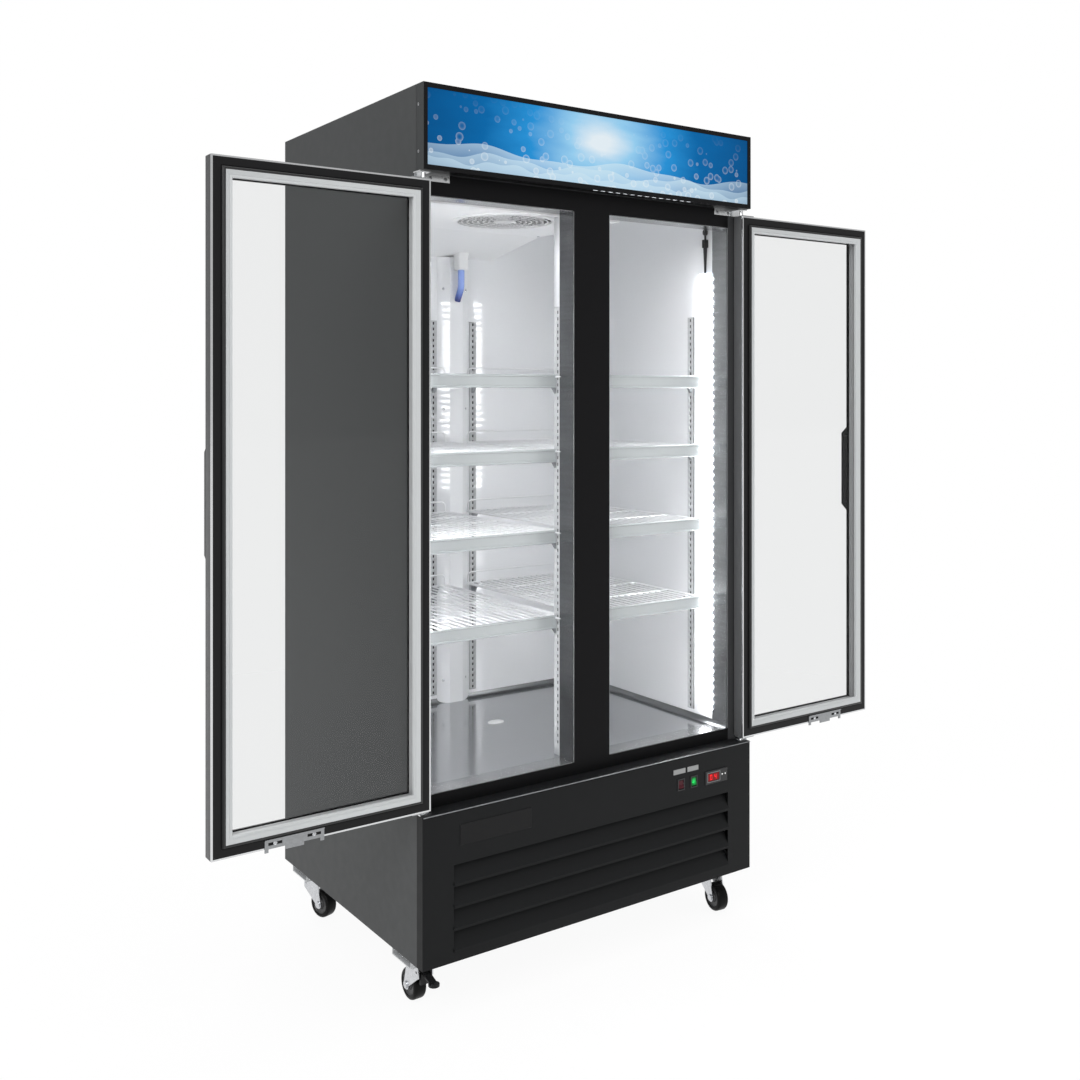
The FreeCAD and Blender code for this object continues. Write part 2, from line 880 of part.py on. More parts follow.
def slot_heights():
    low = z_floor + pilaster_bottom
    count = int(pilaster_length // pilaster_pitch)
    first = low + (pilaster_length - (count - 1) * pilaster_pitch) / 2
    return [first + index * pilaster_pitch for index in range(count)]


def back_pilaster(x):
    low = z_floor + pilaster_bottom
    half = pilaster_width / 2
    strip = box(x - half, x + half, y_wall - pilaster_depth, y_wall, low, low + pilaster_length)
    slots = [box(x - slot_width / 2, x + slot_width / 2, y_wall - pilaster_depth, y_wall,
                 z - slot_height / 2, z + slot_height / 2) for z in slot_heights()]
    return strip.cut(Part.makeCompound(slots))


def wall_pilaster(y):
    low = z_floor + pilaster_bottom
    half = pilaster_width / 2
    near = room_half - pilaster_depth
    strip = box(near, room_half, y - half, y + half, low, low + pilaster_length)
    slots = [box(near, room_half, y - slot_width / 2, y + slot_width / 2,
                 z - slot_height / 2, z + slot_height / 2) for z in slot_heights()]
    return strip.cut(Part.makeCompound(slots))


def pilasters():
    strips = [back_pilaster(rear_pilaster_x), wall_pilaster(wall_pilaster_front), wall_pilaster(wall_pilaster_rear)]
    return strips + [mirrored(s) for s in strips]


def front_post():
    outer = post_inner + post_width
    near = y_room + liner
    far = near + post_depth
    tube_wall = box(post_inner, outer, near, far, z_floor, z_cover)
    tube_wall = tube_wall.cut(box(post_inner, outer - post_wall, near + post_wall, far - post_wall, z_floor, z_cover))
    y = far - post_depth / 4
    slots = [box(outer - post_wall, outer, y - slot_width / 2, y + slot_width / 2,
                 z - slot_height / 2, z + slot_height / 2) for z in slot_heights()]
    return tube_wall.cut(Part.makeCompound(slots))


# Shelves
def wire_shelf(level):
    top = z_floor + level
    low = top - shelf_deck
    deck = box(shelf_inner, shelf_outer, shelf_front, shelf_back, low, top)
    count = int((shelf_outer - shelf_inner - 2 * shelf_border) // shelf_wire_pitch)
    pitch = (shelf_outer - shelf_inner - 2 * shelf_border + shelf_wire) / count
    slots = []
    for index in range(count):
        x = shelf_inner + shelf_border + index * pitch
        slots.append(box(x, x + pitch - shelf_wire, shelf_front + shelf_border, shelf_back - shelf_border, low, top))
    return deck.cut(Part.makeCompound(slots))


# A flat bent wire standing on the deck: two feet and a top run with cut corners
def guard_outline(start, end, low):
    high = low + guard_rise
    wire = guard_wire
    cut = guard_corner
    outer = [(start, low), (start, high - cut), (start + cut, high), (end - cut, high), (end, high - cut), (end, low)]
    inner = [(end - wire, low), (end - wire, high - cut), (end - cut, high - wire), (start + cut, high - wire)]
    inner += [(start + wire, high - cut), (start + wire, low)]
    return outer + inner


def shelf_guard(level):
    top = z_floor + level
    outline = guard_outline(shelf_inner, shelf_outer - guard_inset, top)
    return along_y(outline, shelf_back - guard_wire, shelf_back)


def shelf_strip(level):
    top = z_floor + level + strip_rise
    return box(shelf_inner, shelf_outer, shelf_front - strip_thickness, shelf_front, top - strip_height, top)


def shelf_clip(level):
    top = z_floor + level - shelf_deck
    half = clip_width / 2
    wall = room_half - pilaster_depth
    clips = []
    for y in (wall_pilaster_front, wall_pilaster_rear):
        clips.append(along_y([(wall, top), (wall - clip_reach, top), (wall, top - clip_drop)], y - half, y + half))
    post = post_inner + post_width
    wedge = [(post, top), (post + clip_reach, top), (post, top - clip_drop)]
    clips.append(along_y(wedge, shelf_front, shelf_front + clip_width))
    back = y_wall - pilaster_depth
    wedge = [(back, top), (back - clip_reach, top), (back, top - clip_drop)]
    clips.append(along_x(wedge, rear_pilaster_x - half, rear_pilaster_x + half))
    return clips


def on_both_sides_at_levels(maker):
    solids = []
    for level in shelf_levels:
        made = maker(level)
        made = made if isinstance(made, list) else [made]
        solids += made + [mirrored(s) for s in made]
    return solids


# Doors, drawn closed on the right side
door_x0 = door_gap / 2
door_x1 = half_width - door_side_gap
door_y1 = door_front + door_thickness
door_z0 = z_deck + door_foot_gap
door_z1 = z_light - door_head_gap
hinge_x = door_x1 - hinge_edge
glass_y0 = door_front + glass_setback
glass_y1 = glass_y0 + 2 * glass_pane + glass_space


def hinge_hole():
    radius = hinge_pin_radius + hinge_pin_gap
    low = Part.makeCylinder(radius, hinge_pin_depth + 2 * hinge_cap, V(hinge_x, hinge_setback, door_z0 - 2 * hinge_cap))
    high = Part.makeCylinder(radius, hinge_pin_depth + 2 * hinge_cap, V(hinge_x, hinge_setback, door_z1 - hinge_pin_depth))
    return Part.makeCompound([low, high])


def door_frame():
    outer = box(door_x0, door_x1, door_front, door_y1, door_z0, door_z1)
    outer = outer.makeFillet(door_edge_round, edges_at_y(outer, door_front))
    edge = door_member
    window = box(door_x0 + edge, door_x1 - edge, door_front, door_y1, door_z0 + edge, door_z1 - edge)
    edge = glass_edge
    pocket = box(door_x0 + edge, door_x1 - edge, glass_y0, glass_y1, door_z0 + edge, door_z1 - edge)
    return outer.cut(window).cut(pocket).cut(hinge_hole())


def door_glass():
    edge = glass_edge
    panes = []
    for y in (glass_y0, glass_y1 - glass_pane):
        panes.append(box(door_x0 + edge, door_x1 - edge, y, y + glass_pane, door_z0 + edge, door_z1 - edge))
    return panes


def glass_spacer():
    edge = glass_edge
    return frame_ring(door_x0 + edge, door_x1 - edge, door_z0 + edge, door_z1 - edge,
                      glass_y0 + glass_pane, glass_y1 - glass_pane, spacer_width)


def door_gasket():
    edge = gasket_edge
    far = y_frame - gasket_gap
    ring = frame_ring(door_x0 + edge, door_x1 - edge, door_z0 + edge, door_z1 - edge, door_y1, far, gasket_width)
    return ring.makeFillet(gasket_round, edges_at_y(ring, far))


def door_handle():
    low = door_z0 + handle_bottom
    high = low + handle_length
    out = door_front - handle_depth
    shape = [(door_front, low), (out, low + handle_taper), (out, high - handle_taper), (door_front, high)]
    x0 = door_x0 + handle_edge
    x1 = x0 + handle_width
    grip = along_x(shape, x0, x1)
    return grip.cut(box(x0, x1, out + handle_bar, door_front, low + handle_foot, high - handle_foot))


def hinge_caps():
    x0 = door_x1 - hinge_cap_length
    caps = []
    for z in (door_z0 - hinge_cap, door_z1):
        cap = box(x0, door_x1 - hinge_cap_inset, door_front + hinge_cap_inset, door_y1 - hinge_cap_inset, z, z + hinge_cap)
        caps.append(cap.cut(hinge_hole()))
    return caps


def lock_bracket():
    x0 = door_x0 + lock_edge
    x1 = x0 + lock_length
    middle = (x0 + x1) / 2
    plate = box(x0, x1, door_y1, door_y1 + lock_sheet, door_z0, door_z0 + lock_height)
    tongues = []
    for near, far in ((x0, x0 + lock_leg), (middle - lock_tab / 2, middle + lock_tab / 2), (x1 - lock_leg, x1)):
        tongues.append(box(near, far, door_y1, door_y1 + lock_sheet, door_z0 - lock_tab_drop, door_z0))
    top = door_z0 + lock_height
    lip = box(x0, x1, door_y1 + lock_sheet, door_y1 + lock_sheet + lock_lip, top - lock_sheet, top)
    slots = []
    gap = (lock_length - lock_tab) / 4
    for x in (x0 + gap, x1 - gap):
        low = door_z0 + (lock_height - lock_slot_width) / 2
        slots.append(box(x - lock_slot_length / 2, x + lock_slot_length / 2, door_y1, door_y1 + lock_sheet,
                         low, low + lock_slot_width))
    return fused([plate, lip] + tongues).cut(Part.makeCompound(slots))


def opened(shape):
    swung = shape.copy()
    swung.rotate(V(hinge_x, hinge_setback, 0), UP, 180)
    return swung


def hinge_plates():
    x0 = hinge_x - hinge_plate_width / 2
    near = hinge_setback - hinge_washer_radius
    low = box(x0, half_width, near, y_frame, z_deck, z_deck + hinge_plate)
    washer_top = door_z0 - hinge_cap - hinge_washer_gap
    washer = Part.makeCylinder(hinge_washer_radius, washer_top - z_deck, V(hinge_x, hinge_setback, z_deck))
    pin = Part.makeCylinder(hinge_pin_radius, door_z0 + hinge_pin_depth - z_deck, V(hinge_x, hinge_setback, z_deck))
    high = box(x0, half_width, near, y_frame, z_light - hinge_plate, z_light)
    flange = box(half_width - hinge_flange_length, skin_half, y_frame - hinge_plate, y_frame,
                 z_light - hinge_plate - hinge_flange, z_light)
    top = door_z1 - hinge_pin_depth
    top_pin = Part.makeCylinder(hinge_pin_radius, z_light - top, V(hinge_x, hinge_setback, top))
    bottom_hinge = fused([low, washer, pin])
    top_hinge = fused([high, flange, top_pin])
    return both_sides(bottom_hinge) + both_sides(top_hinge)


# Casters, drawn about their swivel with the wheel trailing along X
bracket_low = z_base - caster_bracket_height
head_top = bracket_low - caster_plate - swivel_gap
head_low = head_top - swivel_head_height
fork_inner = wheel_width / 2 + fork_side_gap
fork_outer = fork_inner + fork_sheet
pedal_z = head_low - pedal_below_head


def caster_places():
    x = half_width - caster_side_inset
    return {"front_left": V(-x, caster_front_y, 0), "front_right": V(x, caster_front_y, 0),
            "rear_left": V(-x, caster_rear_y, 0), "rear_right": V(x, caster_rear_y, 0)}


def turned_caster(shape, corner):
    turned = shape.copy()
    turned.rotate(V(0, 0, 0), UP, caster_angles[corner])
    turned.translate(caster_places()[corner])
    return turned


def caster_mount(corner):
    at = caster_places()[corner]
    wide = caster_bracket_width / 2
    long = caster_bracket_length / 2
    wall = caster_bracket_wall
    channel = box(-wide, wide, -long, long, bracket_low, z_base)
    hollow = box(-wide, wide, -long + wall, long - wall, bracket_low + wall, z_base - wall)
    plate = box(-caster_plate_width / 2, caster_plate_width / 2, -caster_plate_length / 2, caster_plate_length / 2,
                bracket_low - caster_plate, bracket_low)
    bore = Part.makeCylinder(swivel_pin_radius + swivel_pin_gap, caster_plate + wall, V(0, 0, bracket_low - caster_plate))
    mount = fused([channel.cut(hollow), plate]).cut(bore)
    mount.translate(at)
    return mount


def fork():
    top = head_low
    head = Part.makeCylinder(swivel_head_radius, swivel_head_height, V(0, 0, head_low))
    king_pin = Part.makeCylinder(swivel_pin_radius, caster_plate + swivel_gap, V(0, 0, head_top))
    crown = box(-fork_reach, fork_reach, -fork_outer, fork_outer, top - fork_sheet, top)
    eye_x = wheel_trail
    shape = [(-fork_reach, top), (fork_reach, top), (eye_x + fork_eye, wheel_radius), (eye_x - fork_eye, wheel_radius)]
    shape.append((-fork_reach, pedal_z - 2 * pedal_hub_radius))
    solids = [head, king_pin, crown]
    for y in (-fork_outer, fork_inner):
        solids.append(along_y(shape, y, y + fork_sheet))
        solids.append(Part.makeCylinder(fork_eye, fork_sheet, V(eye_x, y, wheel_radius), V(0, 1, 0)))
    holes = [rod(V(eye_x, -fork_outer, wheel_radius), V(eye_x, fork_outer, wheel_radius), axle_radius)]
    pin = pedal_pin_radius + pedal_pin_gap
    holes.append(rod(V(-pedal_back, -fork_outer, pedal_z), V(-pedal_back, fork_outer, pedal_z), pin))
    return fused(solids).cut(Part.makeCompound(holes))


def axle():
    shank = rod(V(wheel_trail, -fork_outer, wheel_radius), V(wheel_trail, fork_outer, wheel_radius), axle_radius)
    heads = []
    for y in (-fork_outer - axle_head, fork_outer):
        heads.append(Part.makeCylinder(axle_head_radius, axle_head, V(wheel_trail, y, wheel_radius), V(0, 1, 0)))
    return fused([shank] + heads)


# Wheel section turned about its axle: hub, dished web, rim and round-edged tread
def wheel():
    half = wheel_width / 2
    bore = axle_radius + axle_gap
    web = half - wheel_dish
    edge = wheel_radius - wheel_tread_round
    side = half - wheel_tread_round
    bulge = wheel_tread_round * (1 - math.sqrt(0.5))
    def at(radius, y):
        return V(wheel_trail + radius, y, wheel_radius)
    lines = [at(edge, -half), at(wheel_rim_radius, -half), at(wheel_rim_radius, -web), at(wheel_hub_radius, -web)]
    lines += [at(wheel_hub_radius, -half), at(bore, -half), at(bore, half), at(wheel_hub_radius, half)]
    lines += [at(wheel_hub_radius, web), at(wheel_rim_radius, web), at(wheel_rim_radius, half), at(edge, half)]
    edges = Part.makePolygon(lines).Edges
    edges.append(Part.Arc(at(edge, half), at(wheel_radius - bulge, half - bulge), at(wheel_radius, side)).toShape())
    edges.append(Part.LineSegment(at(wheel_radius, side), at(wheel_radius, -side)).toShape())
    edges.append(Part.Arc(at(wheel_radius, -side), at(wheel_radius - bulge, bulge - half), at(edge, -half)).toShape())
    section = Part.Face(Part.Wire(edges))
    return section.revolve(V(wheel_trail, 0, wheel_radius), V(0, 1, 0), 360)


def brake_pedal():
    x = -pedal_back
    end = x - pedal_length
    half = pedal_width / 2
    thick = pedal_thickness / 2
    low = pedal_z - pedal_fall
    pin = rod(V(x, -fork_outer, pedal_z), V(x, fork_outer, pedal_z), pedal_pin_radius)
    hub = rod(V(x, -half, pedal_z), V(x, half, pedal_z), pedal_hub_radius)
    arm = [(x, pedal_z + thick), (x, pedal_z - thick), (end, low - thick), (end, low + thick)]
    side = pedal_shoe_width / 2
    shoe = [(x - side, pedal_z), (x + side, pedal_z), (x + side + thick, pedal_z - pedal_shoe_drop)]
    shoe.append((x - side + thick, pedal_z - pedal_shoe_drop))
    pad = Part.makeCylinder(pedal_pad_radius, pedal_thickness, V(end, 0, low - thick))
    return fused([pin, hub, along_y(arm, -half, half), along_y(shoe, -half, half), pad])


# Pipes from the compressor to the evaporator and the condenser
def refrigerant_pipes():
    suction = tube(suction_route(), pipe_radius, pipe_bend)
    shell = compressor_x - compressor_radius
    inlet = condenser_x + condenser_width / 2
    y = condenser_front + condenser_depth / 2
    z = z_base + sheet + compressor_foot + compressor_can / 2
    turn = (shell + inlet) / 2
    route = [V(shell, compressor_y, z), V(turn, compressor_y, z), V(turn, y, z), V(inlet, y, z)]
    return [suction, tube(route, pipe_radius, pipe_bend)]


def build():
    os.makedirs("parts", exist_ok=True)
    panel = side_panel()
    save("right_side_panel", [panel])
    save("left_side_panel", [mirrored(panel)])
    save("back_panel", [back_panel()])
    save("top_panel", [top_panel()])
    save("foam_insulation", foam_insulation())
    save("liner_panels", liner_panels())
    save("floor_deck", [floor_deck()])
    save("front_frame", front_frame())
    save("breaker_strips", breaker_strips())
    save("light_box_housing", [light_box_housing()])
    save("light_box_frame", [light_box_frame()])
    save("light_box_panel", [light_box_panel()])
    save("led_lamps", led_lamps())
    save("lamp_leads", lamp_leads())
    save("base_tray", base_tray())
    save("base_cover", [base_cover()])
    save("control_panel", [switch_surround(x) for x in switch_x] + [controller()])
    save("cooling_switch", [rocker(switch_x[0])])
    save("lamp_switch", [rocker(switch_x[1])])
    save("compressor", [compressor()])
    save("condenser", [condenser()])
    save("fan_shroud", [fan_shroud()])
    save("condenser_fan", [condenser_fan()])
    save("fan_motors", [condenser_motor(), evaporator_motor()])
    save("refrigerant_pipes", refrigerant_pipes())
    save("evaporator_cover", [evaporator_cover(), drain_fitting()])
    save("fan_guard", [fan_guard()])
    save("evaporator_fan", [evaporator_fan()])
    save("evaporator", [evaporator()])
    save("drain_hose", [hose(hose_radius)])
    save("centre_column", [centre_column()])
    save("pilasters", pilasters() + both_sides(front_post()))
    save("wire_shelves", on_both_sides_at_levels(wire_shelf))
    save("shelf_guards", on_both_sides_at_levels(shelf_guard))
    save("shelf_strips", on_both_sides_at_levels(shelf_strip))
    save("shelf_clips", on_both_sides_at_levels(shelf_clip))
    save("hinge_plates", hinge_plates())
    door = {"frame": [door_frame()], "glass": door_glass(), "spacer": [glass_spacer()], "gasket": [door_gasket()],
            "handle": [door_handle()], "fittings": hinge_caps() + [lock_bracket()]}
    for piece, solids in door.items():
        solids = [opened(s) for s in solids]
        save("right_door_" + piece, solids)
        save("left_door_" + piece, [mirrored(s) for s in solids])
    save("caster_mounts", [caster_mount(corner) for corner in caster_places()])
    for corner in caster_places():
        save(corner + "_fork", [turned_caster(fork(), corner), turned_caster(axle(), corner)])
        save(corner + "_wheel", [turned_caster(wheel(), corner)])
    for corner in braked:
        save(corner + "_brake", [turned_caster(brake_pedal(), corner)])


build()
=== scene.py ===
import bmesh
import bpy
import json
import math
import numpy as np
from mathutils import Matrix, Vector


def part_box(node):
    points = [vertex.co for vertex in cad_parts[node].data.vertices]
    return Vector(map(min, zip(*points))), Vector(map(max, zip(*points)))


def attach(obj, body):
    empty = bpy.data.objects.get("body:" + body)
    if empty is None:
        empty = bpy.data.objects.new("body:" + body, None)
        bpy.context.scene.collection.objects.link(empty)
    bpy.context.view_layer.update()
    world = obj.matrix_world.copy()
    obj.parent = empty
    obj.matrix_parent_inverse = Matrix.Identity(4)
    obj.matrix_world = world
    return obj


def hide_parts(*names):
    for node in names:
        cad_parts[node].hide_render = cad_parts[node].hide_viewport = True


# Two-door display fridge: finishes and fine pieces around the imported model.
# Metres throughout, x to the viewer's right, y to the back, z up from the floor.

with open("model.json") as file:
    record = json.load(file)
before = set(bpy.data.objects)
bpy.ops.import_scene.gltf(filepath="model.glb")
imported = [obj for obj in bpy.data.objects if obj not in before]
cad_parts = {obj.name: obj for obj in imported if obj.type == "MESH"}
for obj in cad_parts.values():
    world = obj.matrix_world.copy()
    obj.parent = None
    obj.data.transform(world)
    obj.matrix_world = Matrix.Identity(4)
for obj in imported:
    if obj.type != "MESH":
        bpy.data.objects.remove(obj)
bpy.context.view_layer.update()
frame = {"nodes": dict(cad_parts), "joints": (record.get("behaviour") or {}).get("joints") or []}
nodes = frame["nodes"]
print("frame loaded:", len(nodes), "nodes")


# Shader maths: a Wire is an output socket, and an operator on it adds a Math node
class Wire:
    def __init__(self, finish, socket):
        self.finish = finish
        self.socket = socket

    def math(self, operation, other=None, flipped=False):
        pair = [other, self] if flipped else [self, other]
        inputs = {i: v for i, v in enumerate(pair) if v is not None}
        return self.finish.add("ShaderNodeMath", {"operation": operation}, inputs)

    def __add__(self, other): return self.math("ADD", other)
    def __radd__(self, other): return self.math("ADD", other, True)
    def __sub__(self, other): return self.math("SUBTRACT", other)
    def __rsub__(self, other): return self.math("SUBTRACT", other, True)
    def __mul__(self, other): return self.math("MULTIPLY", other)
    def __rmul__(self, other): return self.math("MULTIPLY", other, True)
    def __truediv__(self, other): return self.math("DIVIDE", other)
    def __rtruediv__(self, other): return self.math("DIVIDE", other, True)
    def __pow__(self, other): return self.math("POWER", other)
    def __mod__(self, other): return self.math("FLOORED_MODULO", other)
    def __lt__(self, other): return self.math("LESS_THAN", other)
    def __gt__(self, other): return self.math("GREATER_THAN", other)
    def __abs__(self): return self.math("ABSOLUTE")
    def sine(self): return self.math("SINE")
    def lowest(self, other): return self.math("MINIMUM", other)
    def highest(self, other): return self.math("MAXIMUM", other)


# One material: a principled shader and the nodes that feed it
class Finish:
    def __init__(self, name, **sockets):
        self.material = bpy.data.materials.new(name)
        self.material.use_nodes = True
        self.tree = self.material.node_tree
        self.tree.nodes.clear()
        self.output = self.tree.nodes.new("ShaderNodeOutputMaterial")
        self.shader = self.tree.nodes.new("ShaderNodeBsdfPrincipled")
        self.tree.links.new(self.shader.outputs[0], self.output.inputs[0])
        self.put(**sockets)

    def plug(self, socket, value):
        if isinstance(value, Wire):
            self.tree.links.new(value.socket, socket)
        else:
            socket.default_value = value

    # sockets by name with underscores for spaces, as Base_Color
    def put(self, **sockets):
        for name, value in sockets.items():
            if "Color" in name and not isinstance(value, Wire):
                value = (*value, 1.0)
            self.plug(self.shader.inputs[name.replace("_", " ")], value)
        return self

    # any node: its type, its settings, then the values or links of its sockets
    def add(self, kind, settings=None, inputs=None, out=0):
        node = self.tree.nodes.new(kind)
        for key, value in (settings or {}).items():
            if key == "stops":
                ramp = node.color_ramp
                while len(ramp.elements) < len(value):
                    ramp.elements.new(1.0)
                for element, (place, color) in zip(ramp.elements, value):
                    element.position = place
                    element.color = (*color, 1.0)
            else:
                setattr(node, key, value)
        for key, value in (inputs or {}).items():
            self.plug(node.inputs[key], value)
        return Wire(self, node.outputs[out])

    def place(self):
        return self.add("ShaderNodeTexCoord", out=3)

    def axes(self):
        split = self.add("ShaderNodeSeparateXYZ", None, {0: self.place()})
        return [Wire(self, s) for s in split.socket.node.outputs]

    # fractal noise, with the place stretched by three factors first
    def noise(self, scale, detail=2.0, stretch=(1, 1, 1)):
        mapped = self.add("ShaderNodeMapping", None, {"Vector": self.place(), "Scale": stretch})
        return self.add("ShaderNodeTexNoise", None, {"Vector": mapped, "Scale": scale, "Detail": detail})

    def mix(self, factor, first, second):
        pair = [(*c, 1.0) if not isinstance(c, Wire) else c for c in (first, second)]
        return self.add("ShaderNodeMix", {"data_type": "RGBA"}, {0: factor, 6: pair[0], 7: pair[1]}, 2)

    def ramp(self, factor, stops):
        return self.add("ShaderNodeValToRGB", {"stops": stops}, {0: factor})

    def bump(self, height, distance):
        return self.add("ShaderNodeBump", None, {"Height": height, "Distance": distance})

    # roughness swaying with a middling noise, and a fine grain as bump
    def skin(self, roughness, grain, depth):
        sway = coatLook["sway"]
        self.put(Roughness=roughness * (1 - sway) + self.noise(coatLook["blotch"], 3.0) * (roughness * 2 * sway))
        self.put(Normal=self.bump(self.noise(grain, 2.0), depth))
        return self.material


coatLook = {"cloud": 2.4, "blotch": 38.0, "sway": 0.14}


def shades(color, spread):
    return [tuple(min(1.0, c * k) for c in color) for k in (1 - spread, 1 + spread)]


# Coat or moulding: two tones by a broad noise, roughness by a middling one, grain by a fine one
def coated(name, color, roughness, grain=900.0, depth=0.00004, spread=0.06, metallic=0.0, **more):
    finish = Finish(name, Metallic=metallic, **more)
    dark, light = shades(color, spread)
    finish.put(Base_Color=finish.mix(finish.noise(coatLook["cloud"], 3.0), dark, light))
    return finish.skin(roughness, grain, depth)


# Rolled or drawn metal: noise drawn out along one direction for colour, roughness and fine lines
def drawn(name, color, roughness, stretch, spread=0.12, metallic=1.0, depth=0.00002, **more):
    finish = Finish(name, Metallic=metallic, **more)
    dark, light = shades(color, spread)
    lines = finish.noise(220.0, 4.0, stretch)
    finish.put(Base_Color=finish.mix(lines, dark, light))
    finish.put(Roughness=roughness * 0.7 + lines * (roughness * 0.6))
    finish.put(Normal=finish.bump(lines, depth))
    return finish.material


# Banded coat: one colour, and others where the distance from the middle plane lies between two reaches; on the light
# box frame a band is two-tone paint, while on the front frame, breaker strips and door frames the bands are painted
# light and shade
def banded(name, color, bands, roughness, grain=1600.0, depth=0.000012, stretch=(1, 1, 1), spread=0.05, **more):
    finish = Finish(name, **more)
    cloudy = finish.noise(coatLook["cloud"], 4.0, stretch)
    away = abs(finish.axes()[0])
    tone = finish.mix(cloudy, *shades(color, spread))
    for near, far, bandColor in bands:
        tone = finish.mix((away > near) * (away < far), tone, finish.mix(cloudy, *shades(bandColor, spread)))
    finish.put(Base_Color=tone)
    return finish.skin(roughness, grain, depth)


# Zinc: crystals from cells of random brightness, with a cloudy bloom over them
def crystals(name, color, roughness, scale):
    finish = Finish(name, Metallic=1.0)
    cells = finish.add("ShaderNodeTexVoronoi", None, {"Vector": finish.place(), "Scale": scale}, 1)
    grey = finish.add("ShaderNodeSeparateColor", None, {0: cells})
    bloom = finish.noise(24.0, 4.0)
    dark, light = shades(color, 0.16)
    finish.put(Base_Color=finish.mix(grey * 0.6 + bloom * 0.4, dark, light))
    finish.put(Roughness=roughness + grey * 0.12 + bloom * 0.1 - 0.1)
    finish.put(Normal=finish.bump(finish.noise(500.0, 2.0), 0.00002))
    return finish.material


# Clear glass: straight-through light, and a small mirror share plus the fifth power of (1 - cosine of the view)
glassLook = {"mirror": 0.001, "smear": 0.004, "slant": 0.9}


def clearGlass(name, tint):
    finish = Finish(name, Base_Color=tint, Roughness=0.02)
    slant = finish.add("ShaderNodeLayerWeight", None, {"Blend": 0.5}, 1)
    smear = finish.noise(3.0, 4.0, (1, 1, 0.5))
    gloss = finish.add("ShaderNodeBsdfGlossy", None, {"Color": (1, 1, 1, 1), "Roughness": 0.015})
    through = finish.add("ShaderNodeBsdfTransparent", None, {"Color": (*tint, 1)})
    share = slant ** 5.0 * glassLook["slant"] + glassLook["mirror"] + smear * glassLook["smear"]
    both = finish.add("ShaderNodeMixShader", None, {0: share, 1: through, 2: gloss})
    finish.plug(finish.output.inputs[0], both)
    return finish.material


# Fins: colour darkening towards the gap at each pitch across the block, as painted shade between the fins, and bump
# height by the distance from that gap
def fins(name, color, pitch):
    finish = Finish(name, Metallic=1.0, Roughness=0.42)
    x = finish.axes()[0]
    blade = abs((x / pitch) % 1.0 - 0.5) * 2.0
    # painted shade: a quarter of the colour in the gaps between the fins
    finish.put(Base_Color=finish.ramp(blade, [(0.25, shades(color, 0.75)[0]), (0.6, color)]))
    finish.put(Normal=finish.bump(blade, 0.0008))
    return finish.material


# Lit panel: a blue field paling to white at the middle, three low swells and drifting round bubbles
headerArt = {"glow": 0.78, "swells": ((0.30, 0.050, 7.0, 0.4), (0.21, 0.040, 11.0, 2.1), (0.12, 0.030, 15.0, 4.0))}


def headerPanel(name):
    finish = Finish(name, Roughness=0.25, Specular_IOR_Level=0.04)
    low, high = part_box("light_box_panel")
    x, _, z = finish.axes()
    across = x / high.x
    up = (z - low.z) / (high.z - low.z)
    spread = ((across * 0.92 + 0.02) ** 2.0 + ((up - 0.62) * 0.55) ** 2.0) ** 0.5
    sky = finish.ramp(spread + (finish.noise(9.0, 3.0, (0.6, 1, 2)) - 0.5) * 0.22, [
        (0.05, (0.86, 0.95, 1.0)), (0.20, (0.34, 0.68, 0.95)), (0.40, (0.022, 0.31, 0.73)),
        (0.62, (0.002, 0.145, 0.42)), (1.0, (0.001, 0.075, 0.24))])
    color = sky
    for level, swing, waves, start in headerArt["swells"]:
        crest = level + swing * (across * waves + start).sine() + 0.02 * (across * waves * 2.3).sine()
        depth = ((crest - up) / 0.16).highest(0.0).lowest(1.0)
        inside = (crest > up) * (0.72 - depth * 0.34) * (1.0 - abs(across) ** 2.0 * 0.45)
        color = finish.mix(inside, color, (0.66, 0.86, 0.97))
    cells = finish.add("ShaderNodeTexVoronoi", None, {"Vector": finish.place(), "Scale": 34.0, "Randomness": 0.9})
    ball = (cells < 0.34) * (cells / 0.34) ** 3.0
    color = finish.mix(ball * (1.0 - up).highest(0.0) ** 1.5 * 0.75, color, (0.9, 0.97, 1.0))
    finish.put(Base_Color=finish.mix(0.93, color, (0.0, 0.004, 0.012)))
    finish.put(Emission_Color=color, Emission_Strength=headerArt["glow"])
    return finish.material


# Lamp lens: a row of diodes glowing through an opal cover, bright spots at one pitch with dimmer gaps between
lampLook = {"pitch": 0.0215, "glow": 36.5, "spot": 0.25, "fall": 0.25, "gap": (0.045, 0.05, 0.06)}


def lampLens(name):
    finish = Finish(name, Base_Color=(0.9, 0.93, 0.97), Roughness=0.3)
    z = finish.axes()[2]
    beat = abs((z / lampLook["pitch"]) % 1.0 - 0.5) * 2.0
    gap = ((beat - lampLook["spot"]) / lampLook["fall"]).highest(0.0).lowest(1.0)
    finish.put(Emission_Color=finish.mix(gap, (1.0, 1.0, 1.0), lampLook["gap"]))
    finish.put(Emission_Strength=lampLook["glow"])
    return finish.material


# Clear hose: dark at the filled tip, paling with height
hoseLook = {"tip": 1.661, "fill": 0.036}


def clearHose(name):
    finish = Finish(name, Roughness=0.2, Coat_Weight=0.5)
    height = (finish.axes()[2] - hoseLook["tip"]) / hoseLook["fill"] + finish.noise(60.0, 2.0) * 0.3
    finish.put(Base_Color=finish.ramp(height * 0.6, [
        (0.15, (0.018, 0.03, 0.17)), (0.45, (0.11, 0.17, 0.52)),
        (0.75, (0.26, 0.38, 0.82)), (1.0, (0.30, 0.42, 0.85))]))
    finish.put(Normal=finish.bump(finish.noise(220.0, 2.0), 0.00003))
    return finish.material
